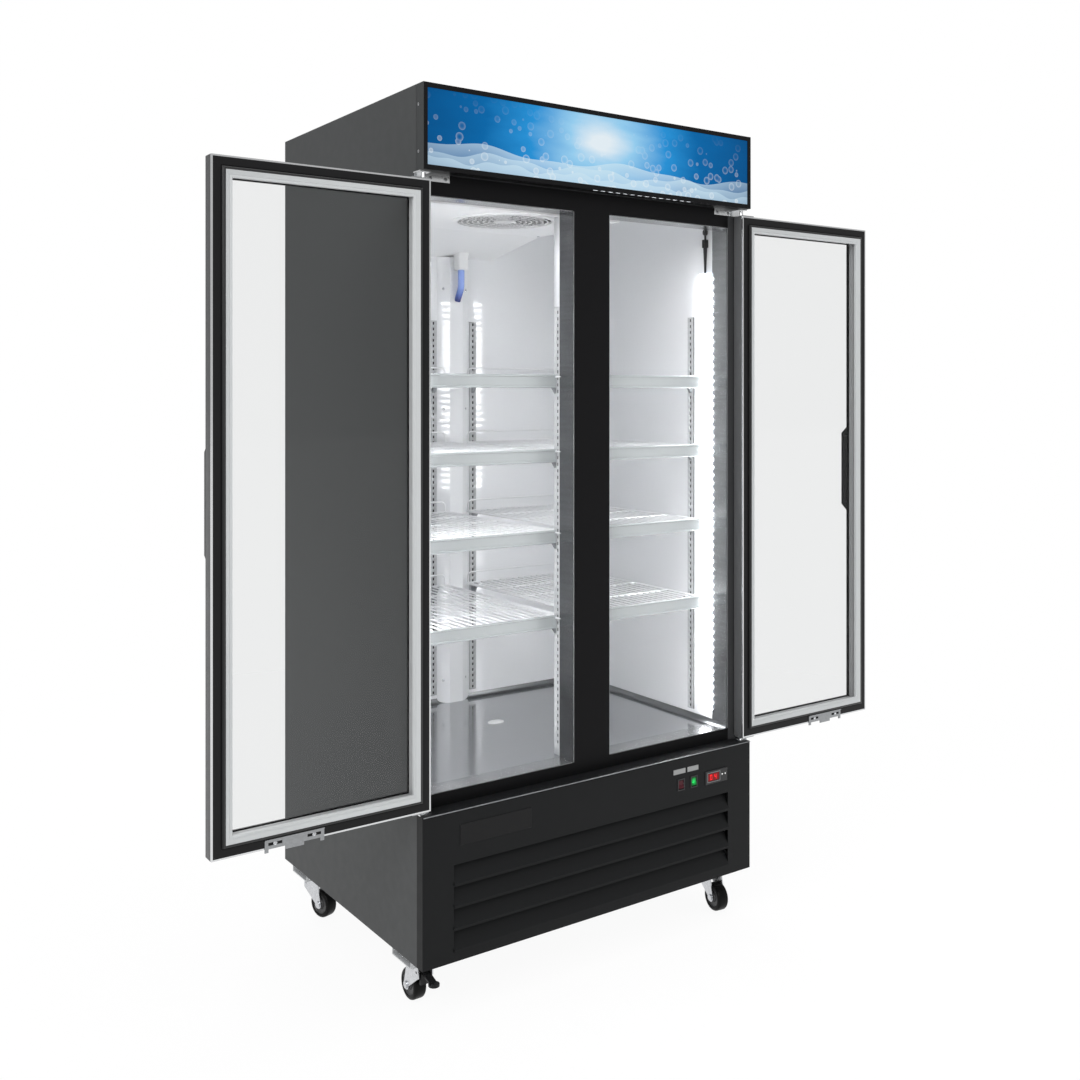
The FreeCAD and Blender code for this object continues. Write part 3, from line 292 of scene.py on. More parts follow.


# Lit plastic: a clouded colour that glows, brightest within a reach of one spot where a spot is given, that spot a
# painted highlight
def litPlastic(name, color, glow, spot=None, reach=0.011):
    finish = Finish(name, Roughness=0.22, Specular_IOR_Level=0.25)
    cloud = finish.noise(180.0, 2.0)
    dark, light = shades(color, 0.35)
    tone = finish.mix(cloud, dark, light)
    if spot:
        x, _, z = finish.axes()
        away = (((x - spot[0]) ** 2.0 + (z - spot[1]) ** 2.0) ** 0.5 / reach).lowest(1.0)
        tone = finish.mix((1.0 - away) ** 1.5, tone, tuple(min(1.0, c * 9) for c in color))
    finish.put(Base_Color=tone, Emission_Color=tone, Emission_Strength=glow)
    return finish.material


finishes = {
    "charcoal": coated("charcoal_powder_coat", (0.042, 0.0445, 0.0455), 0.50, 1600.0, 0.000012, 0.04,
                       Specular_IOR_Level=0.3),
    "galvanised": crystals("galvanised_sheet", (0.36, 0.37, 0.38), 0.42, 90.0),
    "foam": coated("rigid_foam", (0.80, 0.70, 0.42), 0.9, 400.0, 0.0004),
    "liner": coated("white_liner_coat", (0.865, 0.875, 0.89), 0.05, 600.0, 0.0000002, 0.02,
                    Specular_IOR_Level=0.34),
    "floorSteel": drawn("satin_floor_steel", (0.50, 0.505, 0.515), 0.13, (0.06, 1.0, 1.0), 0.03, 1.0, 0.000003),
    "coveSteel": drawn("dull_cove_steel", (0.24, 0.245, 0.25), 0.32, (0.1, 0.1, 1.0), 0.06),
    # Front frame: black, with lighter grey on the jambs beyond the openings as painted light
    "blackFrame": banded("satin_black_frame", (0.0045, 0.0045, 0.005), [
        (0.46, 1.0, (0.052, 0.053, 0.055))], 0.40, 800.0, 0.00001, Specular_IOR_Level=0.09),
    # Breaker strips: darker near the mullion and a little darker at the jambs, painted shade
    "breaker": banded("bright_rolled_strip", (0.36, 0.364, 0.37), [
        (0.0, 0.058, (0.16, 0.164, 0.17)), (0.456, 1.0, (0.32, 0.325, 0.33))], 0.20, 300.0, 0.00001,
                      (4.0, 4.0, 60.0), 0.22, Metallic=0.85),
    "blackPaint": coated("black_powder_coat", (0.007, 0.0075, 0.008), 0.46, 1600.0, 0.000012, Specular_IOR_Level=0.14),
    "boxFrame": banded("black_box_frame", (0.004, 0.004, 0.0045), [(0.4990, 1.0, (0.042, 0.0445, 0.0455))], 0.46,
                       Specular_IOR_Level=0.12),
    "boxShell": coated("dark_box_shell", (0.020, 0.021, 0.022), 0.5),
    "headerPanel": headerPanel("backlit_header_panel"),
    "lamp": lampLens("opal_lamp_lens"),
    "blackRubber": coated("black_cable_rubber", (0.012, 0.012, 0.012), 0.55, 500.0),
    "controlBlack": coated("black_control_plastic", (0.010, 0.010, 0.011), 0.32, 700.0),
    "redRocker": litPlastic("dark_red_rocker", (0.045, 0.004, 0.008), 0.05),
    # the lit switch's own glow, with a painted highlight at one spot
    "greenRocker": litPlastic("lit_green_rocker", (0.001, 0.060, 0.010), 0.6, (0.299, 0.394)),
    "enamel": coated("black_enamel", (0.010, 0.010, 0.011), 0.18, 200.0, 0.00003),
    "condenserFins": fins("condenser_fins", (0.55, 0.56, 0.57), 0.004),
    "coilFins": fins("evaporator_fins", (0.75, 0.76, 0.77), 0.005),
    "fanMetal": drawn("pressed_fan_blades", (0.62, 0.63, 0.64), 0.34, (1.0, 0.2, 1.0)),
    "motorPaint": coated("motor_paint", (0.05, 0.05, 0.055), 0.5, 400.0),
    "copper": crystals("bare_copper", (0.70, 0.34, 0.18), 0.36, 40.0),
    "coverWhite": coated("moulded_white_cover", (0.86, 0.865, 0.87), 0.34, 500.0, 0.00003, 0.02),
    "blueHose": clearHose("translucent_blue_hose"),
    "whiteWire": coated("dip_coated_wire", (0.82, 0.83, 0.84), 0.30, 900.0, 0.00003, 0.02, Coat_Weight=0.3),
    "strip": coated("grey_shelf_strip", (0.46, 0.49, 0.50), 0.22, 500.0, 0.00002, 0.03, Coat_Weight=0.4),
    "zinc": crystals("bright_zinc", (0.62, 0.63, 0.65), 0.28, 260.0),
    "stripZinc": coated("pale_zinc_strip", (0.50, 0.51, 0.52), 0.35, 700.0, 0.00001, 0.05),
    "dullZinc": crystals("dull_zinc_fitting", (0.36, 0.37, 0.38), 0.42, 200.0),
    # Door frames: black, with the free-side faces painted dark grey and the hinge-side faces a paler grey, painted
    # light and shade by how the light falls on each side
    "anodised": banded("black_anodised_extrusion", (0.006, 0.006, 0.0065), [
        (0.9721, 2.0, (0.045, 0.046, 0.048)), (0.0, 0.4779, (0.10, 0.102, 0.105))], 0.36, 700.0, 0.00001,
                       Specular_IOR_Level=0.2),
    "silverEdge": drawn("bright_aluminium_edge", (0.72, 0.73, 0.74), 0.22, (1.0, 1.0, 0.05), 0.06),
    "glass": clearGlass("clear_glass", (0.957, 0.959, 0.959)),
    "spacer": coated("grey_glass_spacer", (0.34, 0.345, 0.35), 0.4, 900.0, 0.00001, 0.04),
    "gasket": coated("soft_grey_gasket", (0.45, 0.465, 0.47), 0.55, 700.0, 0.00005, 0.05),
    "bellows": coated("black_seal_rubber", (0.010, 0.0105, 0.011), 0.34, 700.0, 0.00003, 0.08),
    "handle": coated("black_handle_plastic", (0.010, 0.010, 0.011), 0.45, 1300.0, 0.00007),
    "tyre": coated("hard_black_tyre", (0.003, 0.003, 0.003), 0.36, 600.0, 0.00003, Specular_IOR_Level=0.12),
    "hub": coated("grey_wheel_hub", (0.05, 0.05, 0.052), 0.45, 600.0),
    "pedal": coated("black_pedal_plastic", (0.007, 0.007, 0.0075), 0.36, 900.0, 0.00005, Specular_IOR_Level=0.25),
    "label": coated("bare_label_plate", (0.25, 0.255, 0.255), 0.42, 700.0),
    "badge": coated("bare_badge_plate", (0.005, 0.005, 0.0055), 0.30, 300.0, 0.00001, Specular_IOR_Level=0.2),
    "redDisplay": litPlastic("lit_red_display", (0.95, 0.006, 0.012), 0.8),
    "displayGlass": litPlastic("red_display_window", (0.13, 0.001, 0.002), 0.4),
    "dotWhite": coated("pale_light_dot", (0.8, 0.8, 0.8), 0.3),
    "dotLit": litPlastic("lit_slot", (0.75, 0.85, 0.95), 0.9),
}

nodeFinish = {
    "charcoal": ["right_side_panel", "left_side_panel", "top_panel"],
    "galvanised": ["back_panel", "base_tray", "fan_shroud"],
    "foam": ["foam_insulation"],
    "liner": ["liner_panels", "centre_column"],
    "floorSteel": ["floor_deck"],
    "blackFrame": ["front_frame"],
    "breaker": ["breaker_strips"],
    "blackPaint": ["base_cover"],
    "boxFrame": ["light_box_frame"],
    "boxShell": ["light_box_housing"],
    "headerPanel": ["light_box_panel"],
    "lamp": ["led_lamps"],
    "blackRubber": ["lamp_leads"],
    "controlBlack": ["control_panel"],
    "redRocker": ["cooling_switch"],
    "greenRocker": ["lamp_switch"],
    "enamel": ["compressor"],
    "condenserFins": ["condenser"],
    "coilFins": ["evaporator"],
    "fanMetal": ["condenser_fan", "evaporator_fan"],
    "motorPaint": ["fan_motors"],
    "copper": ["refrigerant_pipes"],
    "coverWhite": ["evaporator_cover"],
    "blueHose": ["drain_hose"],
    "silverEdge": ["hinge_plates"],
    "stripZinc": ["caster_mounts"],
    "zinc": ["front_left_fork", "front_right_fork", "rear_left_fork", "rear_right_fork"],
    "dullZinc": ["shelf_clips", "right_door_fittings", "left_door_fittings"],
    "glass": ["right_door_glass", "left_door_glass"],
    "spacer": ["right_door_spacer", "left_door_spacer"],
    "handle": ["right_door_handle", "left_door_handle"],
    "pedal": ["front_left_brake", "front_right_brake"],
}
for finishName, members in nodeFinish.items():
    for member in members:
        slots = nodes[member].data.materials
        slots.clear()
        slots.append(finishes[finishName])
print("finishes:", len(finishes))


# A shape is (points, [face arrays]); each face array holds rows of point numbers
def gridFaces(rows, cols, wrapRows=False, wrapCols=False):
    r = np.arange(rows if wrapRows else rows - 1)[:, None]
    c = np.arange(cols if wrapCols else cols - 1)[None]
    nextR = (r + 1) % rows
    nextC = (c + 1) % cols
    corners = [r * cols + c, r * cols + nextC, nextR * cols + nextC, nextR * cols + c]
    return np.stack(corners, -1).reshape(-1, 4)


# Rings of points, one per row, joined up and closed at both ends
def stacked(points):
    rows, cols = points.shape[:2]
    ring = np.arange(cols)[None]
    return points.reshape(-1, 3), [gridFaces(rows, cols, False, True), ring, ring + (rows - 1) * cols]


def around(sides):
    return np.arange(sides) * 2 * np.pi / sides


def unit(vectors):
    return vectors / np.linalg.norm(vectors, axis=-1, keepdims=True)


# Profile (u, v) carried along a flat path: each point is path + u * mitred side + v * normal of the path's plane
def sweep(path, profile, normal, closed=False):
    path = np.asarray(path, float)
    profile = np.asarray(profile, float)
    normal = np.asarray(normal, float)
    ahead = np.roll(path, -1, 0) - path
    behind = path - np.roll(path, 1, 0)
    if not closed:
        ahead[-1] = behind[-1]
        behind[0] = ahead[0]
    sideAhead = np.cross(unit(ahead), normal)
    side = unit(sideAhead + np.cross(unit(behind), normal))
    side = side / np.sum(side * sideAhead, 1, keepdims=True)
    points = path[:, None] + profile[None, :, :1] * side[:, None] + profile[None, :, 1:] * normal
    rows, cols = len(path), len(profile)
    faceSets = [gridFaces(rows, cols, closed, True)]
    if not closed:
        ring = np.arange(cols)[None]
        faceSets += [ring[:, ::-1], ring + (rows - 1) * cols]
    return points.reshape(-1, 3), faceSets


# Corners of a flat path replaced by arcs: each arc is a spherical blend from its first radius to its last
def bent(points, radius, steps=6, closed=False):
    points = np.asarray(points, float)
    runs = []
    for i, corner in enumerate(points):
        if not closed and i in (0, len(points) - 1):
            runs.append(corner[None])
            continue
        back = unit(points[i - 1] - corner)
        ahead = unit(points[(i + 1) % len(points)] - corner)
        half = math.acos(np.clip(back @ ahead, -1, 1)) / 2
        turn = math.pi - 2 * half
        centre = corner + unit(back + ahead) * radius / math.sin(half)
        first = corner + back * radius / math.tan(half) - centre
        last = corner + ahead * radius / math.tan(half) - centre
        t = np.linspace(0, 1, steps + 1)[:, None]
        runs.append(centre + (np.sin((1 - t) * turn) * first + np.sin(t * turn) * last) / math.sin(turn))
    return np.concatenate(runs)


def circle(radius, sides=8):
    angle = around(sides)
    return np.stack([radius * np.cos(angle), radius * np.sin(angle)], 1)


# Profile (radius, height) turned about an axis; a closed profile makes a ring
def turned(profile, centre, axis, sides=48, closed=False):
    profile = np.asarray(profile, float)
    axis = unit(np.asarray(axis, float))
    across = unit(np.cross(axis, (0.3, 0.5, 0.8)))
    other = np.cross(axis, across)
    angle = around(sides)
    rim = np.cos(angle)[:, None] * across + np.sin(angle)[:, None] * other
    points = centre + profile[:, None, :1] * rim[None] + profile[:, None, 1:] * axis
    if closed:
        return points.reshape(-1, 3), [gridFaces(len(profile), sides, True, True)]
    return stacked(points)


# Boxes from low and high corners, one row each
def blocks(lows, highs):
    lows = np.atleast_2d(np.asarray(lows, float))
    highs = np.atleast_2d(np.asarray(highs, float))
    pick = np.array([[0, 0, 0], [1, 0, 0], [1, 1, 0], [0, 1, 0], [0, 0, 1], [1, 0, 1], [1, 1, 1], [0, 1, 1]])
    points = lows[:, None] + pick[None] * (highs - lows)[:, None]
    sides = np.array([[0, 3, 2, 1], [4, 5, 6, 7], [0, 1, 5, 4], [1, 2, 6, 5], [2, 3, 7, 6], [3, 0, 4, 7]])
    faces = sides[None] + 8 * np.arange(len(lows))[:, None, None]
    return points.reshape(-1, 3), [faces.reshape(-1, 4)]


def joined(shapes):
    points, faceSets, count = [], [], 0
    for shapePoints, shapeFaces in shapes:
        points.append(shapePoints)
        faceSets += [faces + count for faces in shapeFaces]
        count += len(shapePoints)
    return np.concatenate(points), faceSets


def repeated(shape, offsets):
    points, faceSets = shape
    offsets = np.asarray(offsets, float)
    steps = np.arange(len(offsets))[:, None, None] * len(points)
    moved = (points[None] + offsets[:, None]).reshape(-1, 3)
    return moved, [(faces[None] + steps).reshape(-1, faces.shape[1]) for faces in faceSets]


def mirrored(shape):
    points, faceSets = shape
    return points * (-1, 1, 1), [faces[:, ::-1] for faces in faceSets]


def bothSides(shape):
    return joined([shape, mirrored(shape)])


# The object: closed shells turned outwards, smooth except at edges sharper than the angle given
def piece(name, shape, finish, body, replaces=(), bevel=0.0, sharp=35.0):
    points, faceSets = shape
    faces = [row for faceRows in faceSets for row in faceRows.tolist()]
    mesh = bpy.data.meshes.new(name)
    mesh.from_pydata(points.tolist(), [], faces)
    work = bmesh.new()
    work.from_mesh(mesh)
    bmesh.ops.recalc_face_normals(work, faces=work.faces)
    work.to_mesh(mesh)
    work.free()
    mesh.polygons.foreach_set("use_smooth", np.ones(len(mesh.polygons), bool))
    mesh.set_sharp_from_angle(angle=math.radians(sharp))
    mesh.materials.append(finishes[finish])
    made = bpy.data.objects.new(name, mesh)
    bpy.context.scene.collection.objects.link(made)
    if bevel:
        soften = made.modifiers.new("edges", "BEVEL")
        soften.width = bevel
        soften.segments = 3
        soften.limit_method = "ANGLE"
    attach(made, body)
    if replaces:
        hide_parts(*replaces)
    return made


# A sheet given its thickness, half to each side
def thicken(made, thickness):
    wall = made.modifiers.new("sheet", "SOLIDIFY")
    wall.thickness = thickness
    wall.offset = 0.0


def corners(node):
    low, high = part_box(node)
    return np.array(low), np.array(high)


# Screw heads: height is a low dome less a cross-shaped recess, over radius and angle on a polar grid
screwLook = {"radius": 0.0042, "height": 0.0016, "recess": 0.0009, "arm": 0.00075, "armReach": 0.62, "dome": 0.94}


def screw(axis):
    rings, sides = 9, 32
    r = np.linspace(0.0, 1.0, rings)[:, None] * screwLook["radius"]
    angle = around(sides)[None]
    x, y = r * np.cos(angle), r * np.sin(angle)
    dome = screwLook["height"] * np.sqrt(1 - (screwLook["dome"] * r / screwLook["radius"]) ** 2) + 0 * angle
    arms = (np.minimum(abs(x), abs(y)) < screwLook["arm"]) & (r < screwLook["armReach"] * screwLook["radius"])
    height = dome - screwLook["recess"] * arms
    axis = unit(np.asarray(axis, float))
    across = unit(np.cross(axis, (0.3, 0.5, 0.8)))
    top = x[..., None] * across + y[..., None] * np.cross(axis, across) + height[..., None] * axis
    foot = top[-1] - height[-1][:, None] * axis
    points = np.concatenate([top.reshape(-1, 3), foot])
    return points, [gridFaces(rings + 1, sides, False, True), np.arange(sides)[None] + rings * sides]


def screws(places, axis):
    return repeated(screw(axis), places)


# Doors: frame section carried round the edge, bright edge strip, glazing bead and gasket, drawn as they stand open
doorLook = {"member": 0.042, "edgeWidth": 0.0036, "edgeWrap": 0.004, "edgeSheet": 0.0011, "edgeGap": 0.0002,
            "round": 0.0028, "groove": (0.0195, 0.0395), "slant": 0.001, "chamfer": 0.0008, "glass": (0.006, 0.030),
            "pocket": 0.030}
gasketLook = {"width": 0.015, "height": 0.0065}


def frontLoop(low, high, y, inset):
    x0, x1, z0, z1 = low[0] + inset, high[0] - inset, low[2] + inset, high[2] - inset
    return np.array([(x0, y, z0), (x1, y, z0), (x1, y, z1), (x0, y, z1)])


def doorFrameSection(depth):
    wide, edge, wrap = doorLook["member"], doorLook["edgeWidth"], doorLook["edgeWrap"]
    step, soft, pocket = doorLook["edgeSheet"], doorLook["round"], doorLook["pocket"]
    slant, chamfer = doorLook["slant"], doorLook["chamfer"]
    near, far = doorLook["groove"]
    glassNear, glassFar = doorLook["glass"]
    return [(step, wrap), (step, step), (edge, step), (edge, 0.0), (near, 0.0), (near + slant, chamfer),
            (far - slant, chamfer), (far, 0.0), (wide - chamfer, 0.0), (wide, chamfer), (wide, glassNear),
            (pocket, glassNear), (pocket, glassFar), (wide, glassFar), (wide, depth - slant), (wide - slant, depth),
            (soft, depth), (soft * 0.3, depth - soft * 0.3), (0.0, depth - soft), (0.0, wrap)]


# Gasket: a folded bellows along the outer side and a lip falling away towards the glass
gasketShape = {
    "bellows": [(-0.2, 0), (-0.2, 0.9), (-0.36, 1), (-0.62, 1), (-0.86, 0.85), (-0.98, 0.46), (-0.8, 0.32),
                (-1, 0.2), (-1, 0)],
    "lip": [(1, 0), (1, 0.2), (0.55, 0.42), (0.1, 0.72), (-0.18, 0.86), (-0.18, 0)]}


def gasketSection(part):
    half, tall = gasketLook["width"] / 2, gasketLook["height"]
    return [(u * half, -v * tall) for u, v in gasketShape[part]]


# Glazing bead: a thin angle over the inner lip of the frame, down to the pane
glazingLook = {"cover": 0.0047, "lift": 0.0013, "reach": 0.0011, "soft": 0.0006, "drop": 0.0057, "gap": 0.0001}


def beadSection():
    wide, lift, soft, drop, gap = doorLook["member"], *(glazingLook[k] for k in ("lift", "soft", "drop", "gap"))
    start, reach = wide - glazingLook["cover"], wide + glazingLook["reach"]
    return [(start, gap), (start, -lift), (reach - soft, -lift), (reach, soft - lift), (reach, drop),
            (wide + gap, drop), (wide + gap, gap)]


def roundDoor(loop, section):
    return sweep(loop, section, (0, 1, 0), True)


for side in ("right", "left"):
    body = side + "_door"
    low, high = corners(side + "_door_frame")
    loop = frontLoop(low, high, low[1], 0.0)
    piece(side + "_door_surround", roundDoor(loop, doorFrameSection(high[1] - low[1])), "anodised", body,
          [side + "_door_frame"])
    edge = doorLook["edgeSheet"]
    wide, wrap = doorLook["edgeWidth"] - doorLook["edgeGap"], doorLook["edgeWrap"] - doorLook["edgeGap"]
    strip = [(0, 0), (wide, 0), (wide, edge), (edge, edge), (edge, wrap), (0, wrap)]
    piece(side + "_door_edge", roundDoor(loop, strip), "silverEdge", body)
    piece(side + "_door_bead", roundDoor(loop, beadSection()), "gasket", body)
    low, high = corners(side + "_door_gasket")
    loop = frontLoop(low, high, high[1], gasketLook["width"] / 2)
    piece(side + "_door_seal", roundDoor(loop, gasketSection("bellows")), "bellows", body,
          [side + "_door_gasket"])
    piece(side + "_door_lip", roundDoor(loop, gasketSection("lip")), "gasket", body)
print("doors done")


# Shelves: round wires front to back on three cross rods, a border rod, low guard loops and front strips
shelfLook = {"levels": (0.840, 1.052, 1.254, 1.440), "inner": 0.053, "reach": 0.030, "notch": -0.245, "deck": 0.005,
             "wire": 0.0018, "pitch": 0.0205, "hook": 0.012, "hookBend": 0.004, "edgeWire": 0.013,
             "rod": 0.0028, "rodBend": 0.009, "guardRise": 0.029, "guardWire": 0.002, "guardBend": 0.013,
             "guardFoot": 0.003, "guardStart": 0.009, "guardEnd": 0.014,
             "stripTall": 0.033, "stripThick": 0.004, "stripRise": 0.003, "lip": 0.0045, "lipSoft": 0.001}


def straightWire(start, end, radius):
    along = unit(np.asarray(end, float) - np.asarray(start, float))
    normal = (0, 0, 1) if abs(along[2]) < 0.5 else (0, 1, 0)
    return sweep([start, end], circle(radius), normal)


def shelfWires(x0, x1, y0, y1, top):
    wire, rod = shelfLook["wire"], shelfLook["rod"]
    low = top - shelfLook["deck"] + rod
    xi, yi = shelfLook["reach"], shelfLook["notch"]
    count = int((x1 - x0 - 4 * rod) // shelfLook["pitch"])
    xs = np.linspace(x0 + 3 * rod, x1 - 3 * rod, count)
    run = bent([(0, y0 + wire, top - shelfLook["hook"]), (0, y0 + wire, top - wire), (0, y1 - wire, top - wire)],
               shelfLook["hookBend"], 4)
    lengthwise = repeated(sweep(run, circle(wire), (1, 0, 0)), np.stack([xs, 0 * xs, 0 * xs], 1))
    border = bent([(x0 + rod, y0 + rod, low), (x1 - rod, y0 + rod, low), (x1 - rod, y1 - rod, low),
                   (xi + rod, y1 - rod, low), (xi + rod, yi, low), (x0 + rod, yi, low)], shelfLook["rodBend"], 5, True)
    crossings = [straightWire((xi + rod, y, low), (x1 - rod, y, low), rod) for y in np.linspace(y0, y1, 5)[1:-1]]
    edge = xi + shelfLook["edgeWire"]
    crossings.append(straightWire((edge, yi, top - wire), (edge, y1 - wire, top - wire), wire))
    return [lengthwise, sweep(border, circle(rod), (0, 0, 1), True)] + crossings


def guardLoop(start, end, top, across):
    wire = shelfLook["guardWire"]
    high = top + shelfLook["guardRise"]
    start, end = np.asarray(start), np.asarray(end)
    foot = top - shelfLook["guardFoot"]
    route = [(*start, foot), (*start, high), (*end, high), (*end, foot)]
    return sweep(bent(route, shelfLook["guardBend"], 6), circle(wire), across)


# Front strip: a flat face between two rolled lips, the upper half the lower one turned over
def stripSection():
    tall, thick = shelfLook["stripTall"], shelfLook["stripThick"]
    lip, soft = shelfLook["lip"], shelfLook["lipSoft"]
    lower = [(0, 0), (thick * 0.7, 0), (thick, soft), (thick, lip), (thick * 0.45, lip + soft)]
    return lower + [(u, tall - v) for u, v in reversed(lower)]


shelfLow, shelfHigh = corners("wire_shelves")
innerX, outerX = shelfLook["inner"], shelfHigh[0]
frontY, backY = shelfLow[1], shelfHigh[1]
wires, guards, strips = [], [], []
for top in shelfLook["levels"]:
    wires += shelfWires(innerX, outerX, frontY, backY, top)
    wire = shelfLook["guardWire"]
    start, end = shelfLook["reach"] + shelfLook["guardStart"], outerX - shelfLook["guardEnd"] - wire
    guards.append(guardLoop((start, backY - wire), (end, backY - wire), top, (0, 1, 0)))
    foot = top + shelfLook["stripRise"] - shelfLook["stripTall"]
    strips.append(sweep([(innerX, frontY, foot), (outerX, frontY, foot)], stripSection(), (0, 0, 1)))
piece("shelf_wires", bothSides(joined(wires)), "whiteWire", "cabinet", ["wire_shelves"])
piece("shelf_guard_loops", bothSides(joined(guards)), "whiteWire", "cabinet", ["shelf_guards"])
piece("shelf_front_strips", bothSides(joined(strips)), "strip", "cabinet", ["shelf_strips"])
print("shelves done")


# Slotted uprights: a grid of strip columns and slot rows with the slot cells left open, folded edges behind
slotLook = {"pitch": 0.0165, "slotTall": 0.008, "slotWide": 0.005, "fold": 0.003,
            "range": (0.518, 1.607), "post": (0.494, 1.612, 1.837), "wide": 0.022, "postWide": 0.030, "postFold": 0.014,
            "backX": 0.067, "wallGap": 0.0015, "wallY": (-0.195, 0.235), "postX": 0.050, "postY": -0.2645,
            "sheet": 0.001}


def slottedStrip(width, low, high, fold, slotted=True):
    slotLow, slotHigh = slotLook["range"]
    count = int((slotHigh - slotLow) / slotLook["pitch"])
    first = slotLow + (slotHigh - slotLow - (count - 1) * slotLook["pitch"]) / 2
    centres = first + slotLook["pitch"] * np.arange(count if slotted else 0)
    half = slotLook["slotTall"] / 2
    heights = np.concatenate([[low], np.stack([centres - half, centres + half], 1).ravel(), [high]])
    slot = slotLook["slotWide"] / 2
    across = np.array([-width / 2, -width / 2, -slot, slot, width / 2, width / 2])
    depth = np.array([fold, 0, 0, 0, 0, fold])
    rows, cols = len(heights), len(across)
    u = np.broadcast_to(across, (rows, cols))
    d = np.broadcast_to(depth, (rows, cols))
    h = np.broadcast_to(heights[:, None], (rows, cols))
    faces = gridFaces(rows, cols)
    cell = np.arange(len(faces))
    slotCell = ((cell % (cols - 1)) == 2) & ((cell // (cols - 1)) % 2 == 1)
    return np.stack([u, d, h], -1).reshape(-1, 3), faces[~slotCell]


# Where each upright stands: from strip axes (across, depth, height) to the fridge's axes, on the right side
def uprightPlaces():
    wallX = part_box("liner_panels")[1].x - slotLook["wallGap"] - slotLook["fold"]
    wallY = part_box("centre_column")[1].y - slotLook["fold"]
    front, rear = slotLook["wallY"]
    return [lambda u, d, h: np.stack([slotLook["backX"] + u, wallY + d, h], 1),
            lambda u, d, h: np.stack([wallX + d, front + u, h], 1),
            lambda u, d, h: np.stack([wallX + d, rear + u, h], 1)]


def onPost(u, d, h):
    return np.stack([slotLook["postX"] - d, slotLook["postY"] + u, h], 1)


def uprights():
    points, faces = slottedStrip(slotLook["wide"], *slotLook["range"], slotLook["fold"])
    shapes = [(put(*points.T), [faces]) for put in uprightPlaces()]
    points, faces = slottedStrip(slotLook["postWide"], *slotLook["post"][:2], slotLook["postFold"])
    shapes.append((onPost(*points.T), [faces]))
    return bothSides(joined(shapes))


def postTops():
    points, faces = slottedStrip(slotLook["postWide"], *slotLook["post"][1:], slotLook["postFold"], False)
    return bothSides((onPost(*points.T), [faces]))


# Painted shade: a dark strip behind the slots inside each upright, for the shade in the hollow channel, and a dark
# strip along the front of the wall uprights, for the shadow at their edge
slotShadeLook = {"half": 0.006, "depth": (0.0016, 0.0022), "inset": 0.004, "joint": (-0.0128, -0.0112),
            "jointDepth": (0.0004, 0.0029)}


def uprightShadeStrips():
    low, high = slotLook["range"]
    half, inset, (near, far) = slotShadeLook["half"], slotShadeLook["inset"], slotShadeLook["depth"]
    points, faceSets = blocks((-half, near, low + inset), (half, far, high - inset))
    shapes = [(put(*points.T), faceSets) for put in uprightPlaces() + [onPost]]
    (first, last), (near, far) = slotShadeLook["joint"], slotShadeLook["jointDepth"]
    points, faceSets = blocks((first, near, low), (last, far, high))
    shapes += [(put(*points.T), faceSets) for put in uprightPlaces()[1:]]
    return bothSides(joined(shapes))


for slotted in (piece("slotted_uprights", uprights(), "stripZinc", "cabinet", ["pilasters"]),
                piece("post_tops", postTops(), "liner", "cabinet")):
    thicken(slotted, slotLook["sheet"])
# dark strips standing for shade in the upright channels and at their edges
piece("upright_painted_shade", uprightShadeStrips(), "blackRubber", "cabinet")
print("uprights done")


# Fan guard: rings of a thin sheet on a polar grid, each ring a solid bar row and a row of slots cut by short ribs
guardLook = {"rows": 7, "hub": 0.026, "rim": 0.0135, "bar": 0.0042, "slotLong": 0.021, "rib": 0.004, "sheet": 0.0006,
             "lap": 0.0003, "lip": 0.0019, "step": 0.0004, "slope": 0.004, "hubLap": 0.001, "pole": 0.0001}
guardLow, guardHigh = corners("fan_guard")
guardCentre = (guardLow + guardHigh) / 2
guardRadius = (guardHigh[0] - guardLow[0]) / 2


def guardRing(inner, outer):
    count = round(2 * np.pi * inner / guardLook["slotLong"])
    step = 2 * np.pi / count
    rib = guardLook["rib"] / inner
    within = np.array([0.0, rib, rib + (step - rib) / 3, rib + (step - rib) * 2 / 3])
    angle = (np.arange(count)[:, None] * step + within).ravel()
    radii = np.array([inner, inner + guardLook["bar"], outer + guardLook["lap"]])[:, None]
    height = guardLow[2] + guardLook["sheet"] + 0 * radii * angle
    points = np.stack([guardCentre[0] + radii * np.cos(angle), guardCentre[1] + radii * np.sin(angle), height], -1)
    faces = gridFaces(3, len(angle), False, True)
    cell = np.arange(len(faces))
    cut = (cell // len(angle) == 1) & (cell % 4 != 0)
    return points.reshape(-1, 3), [faces[~cut]]


edges = np.linspace(guardLook["hub"], guardRadius - guardLook["rim"], guardLook["rows"] + 1)
guardRings = [guardRing(a, b) for a, b in zip(edges, edges[1:])]
guardSheet = piece("fan_guard_slots", joined(guardRings), "coverWhite", "cabinet", ["fan_guard"])
thicken(guardSheet, guardLook["sheet"])
inside, lip, step = guardRadius - guardLook["rim"], guardLook["lip"], guardLook["step"]
rimSection = [(guardRadius, lip), (guardRadius, -step), (guardRadius - guardLook["slope"], -lip), (inside, -lip),
              (inside, lip)]
guardRim = turned(rimSection, guardCentre, (0, 0, 1), 72, True)
hub, hubEdge, pole = guardLook["hub"], guardLook["hub"] + guardLook["hubLap"], guardLook["pole"]
hubSection = [(pole, -lip), (hub * 0.8, -lip), (hubEdge, step - lip), (hubEdge, lip), (pole, lip)]
guardHub = turned(hubSection, guardCentre, (0, 0, 1), 48)
piece("fan_guard_rim", joined([guardRim, guardHub]), "coverWhite", "cabinet")


# Caster wheels: a tyre with a flat tread and round shoulders on a dished hub
wheelLook = {"half": 0.0160, "tread": 0.036, "rim": 0.0255, "hubRing": 0.013, "bore": 0.0055, "dish": 0.004,
             "round": 0.007}


